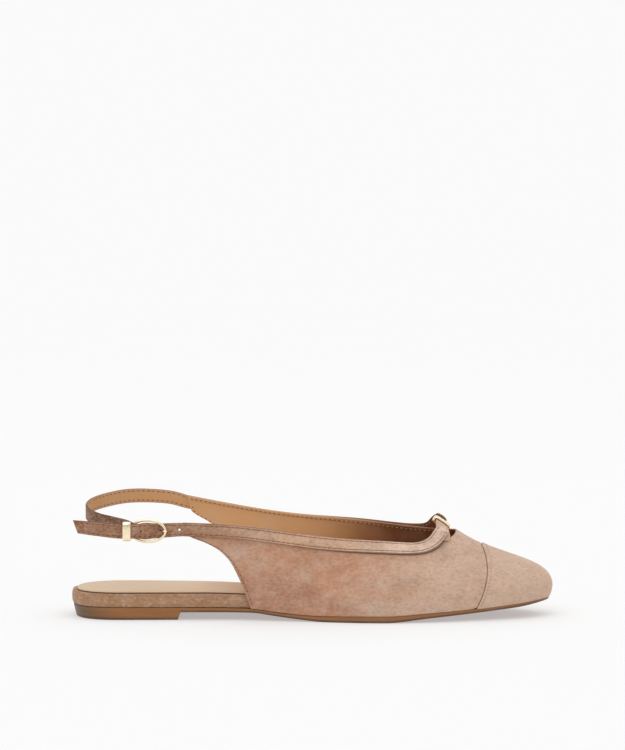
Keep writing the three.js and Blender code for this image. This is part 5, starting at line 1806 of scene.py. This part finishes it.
class SHOE_OT_stage(bpy.types.Operator):
    """Pale paper sweep, soft lights and the camera"""

    bl_idname = "shoe.stage"
    bl_label = "Stage"

    def execute(self, context):
        colours = context.scene.shoe_colours
        self.add_sweep(colours)
        self.add_lights(context)
        self.add_camera(context)
        return {"FINISHED"}

    @staticmethod
    def add_sweep(colours):
        """Floor that bends up into a wall well behind the shoe."""
        bm = bmesh.new()
        bend, radius = SWEEP["bend"], SWEEP["radius"]
        floor = np.linspace(SWEEP["front"], bend, 23)
        turn = np.linspace(0, math.pi / 2, 17)[1:]
        y = np.concatenate([floor, bend + radius * np.sin(turn), [bend + radius]])
        z = np.concatenate([0 * floor, radius * (1 - np.cos(turn)), [SWEEP["top"]]])
        x = np.linspace(-SWEEP["half_width"], SWEEP["half_width"], 33)
        points = np.stack(np.broadcast_arrays(x[None, :], y[:, None], z[:, None]), -1)
        add_grid(bm, points)
        bmesh.ops.recalc_face_normals(bm, faces=bm.faces)
        mesh = bpy.data.meshes.new("sweep")
        bm.to_mesh(mesh)
        bm.free()
        if mesh.polygons[0].normal.z < 0:
            mesh.flip_normals()
        mesh.shade_smooth()
        mesh.materials.append(paper_finish(colours))
        sweep = bpy.data.objects.new("sweep", mesh)
        bpy.context.scene.collection.objects.link(sweep)

    @staticmethod
    def add_lights(context):
        world = bpy.data.worlds.new("studio")
        context.scene.world = world
        world.use_nodes = True
        background = world.node_tree.nodes["Background"]
        background.inputs["Color"].default_value = (1, 1, 1, 1)
        background.inputs["Strength"].default_value = WORLD_STRENGTH
        context.scene.view_settings.view_transform = "Standard"
        for lamp in LAMPS:
            data = bpy.data.lights.new(lamp["name"], "SUN")
            data.angle = math.radians(lamp["spread"])
            data.energy = lamp["strength"]
            light = bpy.data.objects.new(lamp["name"], data)
            light.location = lamp["place"]
            light.rotation_euler = (-Vector(lamp["place"])).to_track_quat("-Z", "Y").to_euler()
            context.scene.collection.objects.link(light)

    @staticmethod
    def add_camera(context):
        focal, (wide, high) = CAMERA["focal_pixels"], CAMERA["picture"]
        across, down = CAMERA["target_pixel"]
        elevation = math.radians(CAMERA["elevation"])
        data = bpy.data.cameras.new("camera")
        data.sensor_fit = "VERTICAL"
        data.sensor_height = 36
        data.lens = focal / high * data.sensor_height
        data.clip_end = 20
        camera = bpy.data.objects.new("camera", data)
        away = Vector((0, -math.cos(elevation), math.sin(elevation)))
        camera.location = Vector(CAMERA["target"]) + CAMERA["distance"] * away
        pitch = elevation - math.atan((down - high / 2) / focal)
        turn = math.atan((across - wide / 2) / focal)
        camera.rotation_euler = (math.pi / 2 - pitch, 0, turn)
        context.scene.collection.objects.link(camera)
        context.scene.camera = camera


OPERATORS = (
    SHOE_OT_outsole,
    SHOE_OT_footbed,
    SHOE_OT_upper,
    SHOE_OT_toe_cap,
    SHOE_OT_bands,
    SHOE_OT_cross_strap,
    SHOE_OT_buckle,
    SHOE_OT_stitches,
    SHOE_OT_stage,
)


class SHOE_PT_panel(bpy.types.Panel):
    """Sizes, colours and pieces of the shoe"""

    bl_idname = "SHOE_PT_panel"
    bl_label = "Sling back flat"
    bl_space_type = "VIEW_3D"
    bl_region_type = "UI"
    bl_category = "Shoe"

    def draw(self, context):
        for operator in OPERATORS:
            self.layout.operator(operator.bl_idname)
        for group, kind in ((context.scene.shoe_sizes, ShoeSizes), (context.scene.shoe_colours, ShoeColours)):
            column = self.layout.column()
            for key in kind.__annotations__:
                column.prop(group, key)


CLASSES = (ShoeSizes, ShoeColours, *OPERATORS, SHOE_PT_panel)


def register():
    for kind in CLASSES:
        bpy.utils.register_class(kind)
    bpy.types.Scene.shoe_sizes = bpy.props.PointerProperty(type=ShoeSizes)
    bpy.types.Scene.shoe_colours = bpy.props.PointerProperty(type=ShoeColours)


def unregister():
    del bpy.types.Scene.shoe_colours
    del bpy.types.Scene.shoe_sizes
    for kind in reversed(CLASSES):
        bpy.utils.unregister_class(kind)


def main():
    register()
    for operator in OPERATORS:
        group, name = operator.bl_idname.split(".")
        getattr(getattr(bpy.ops, group), name)()


if __name__ == "__main__":
    main()
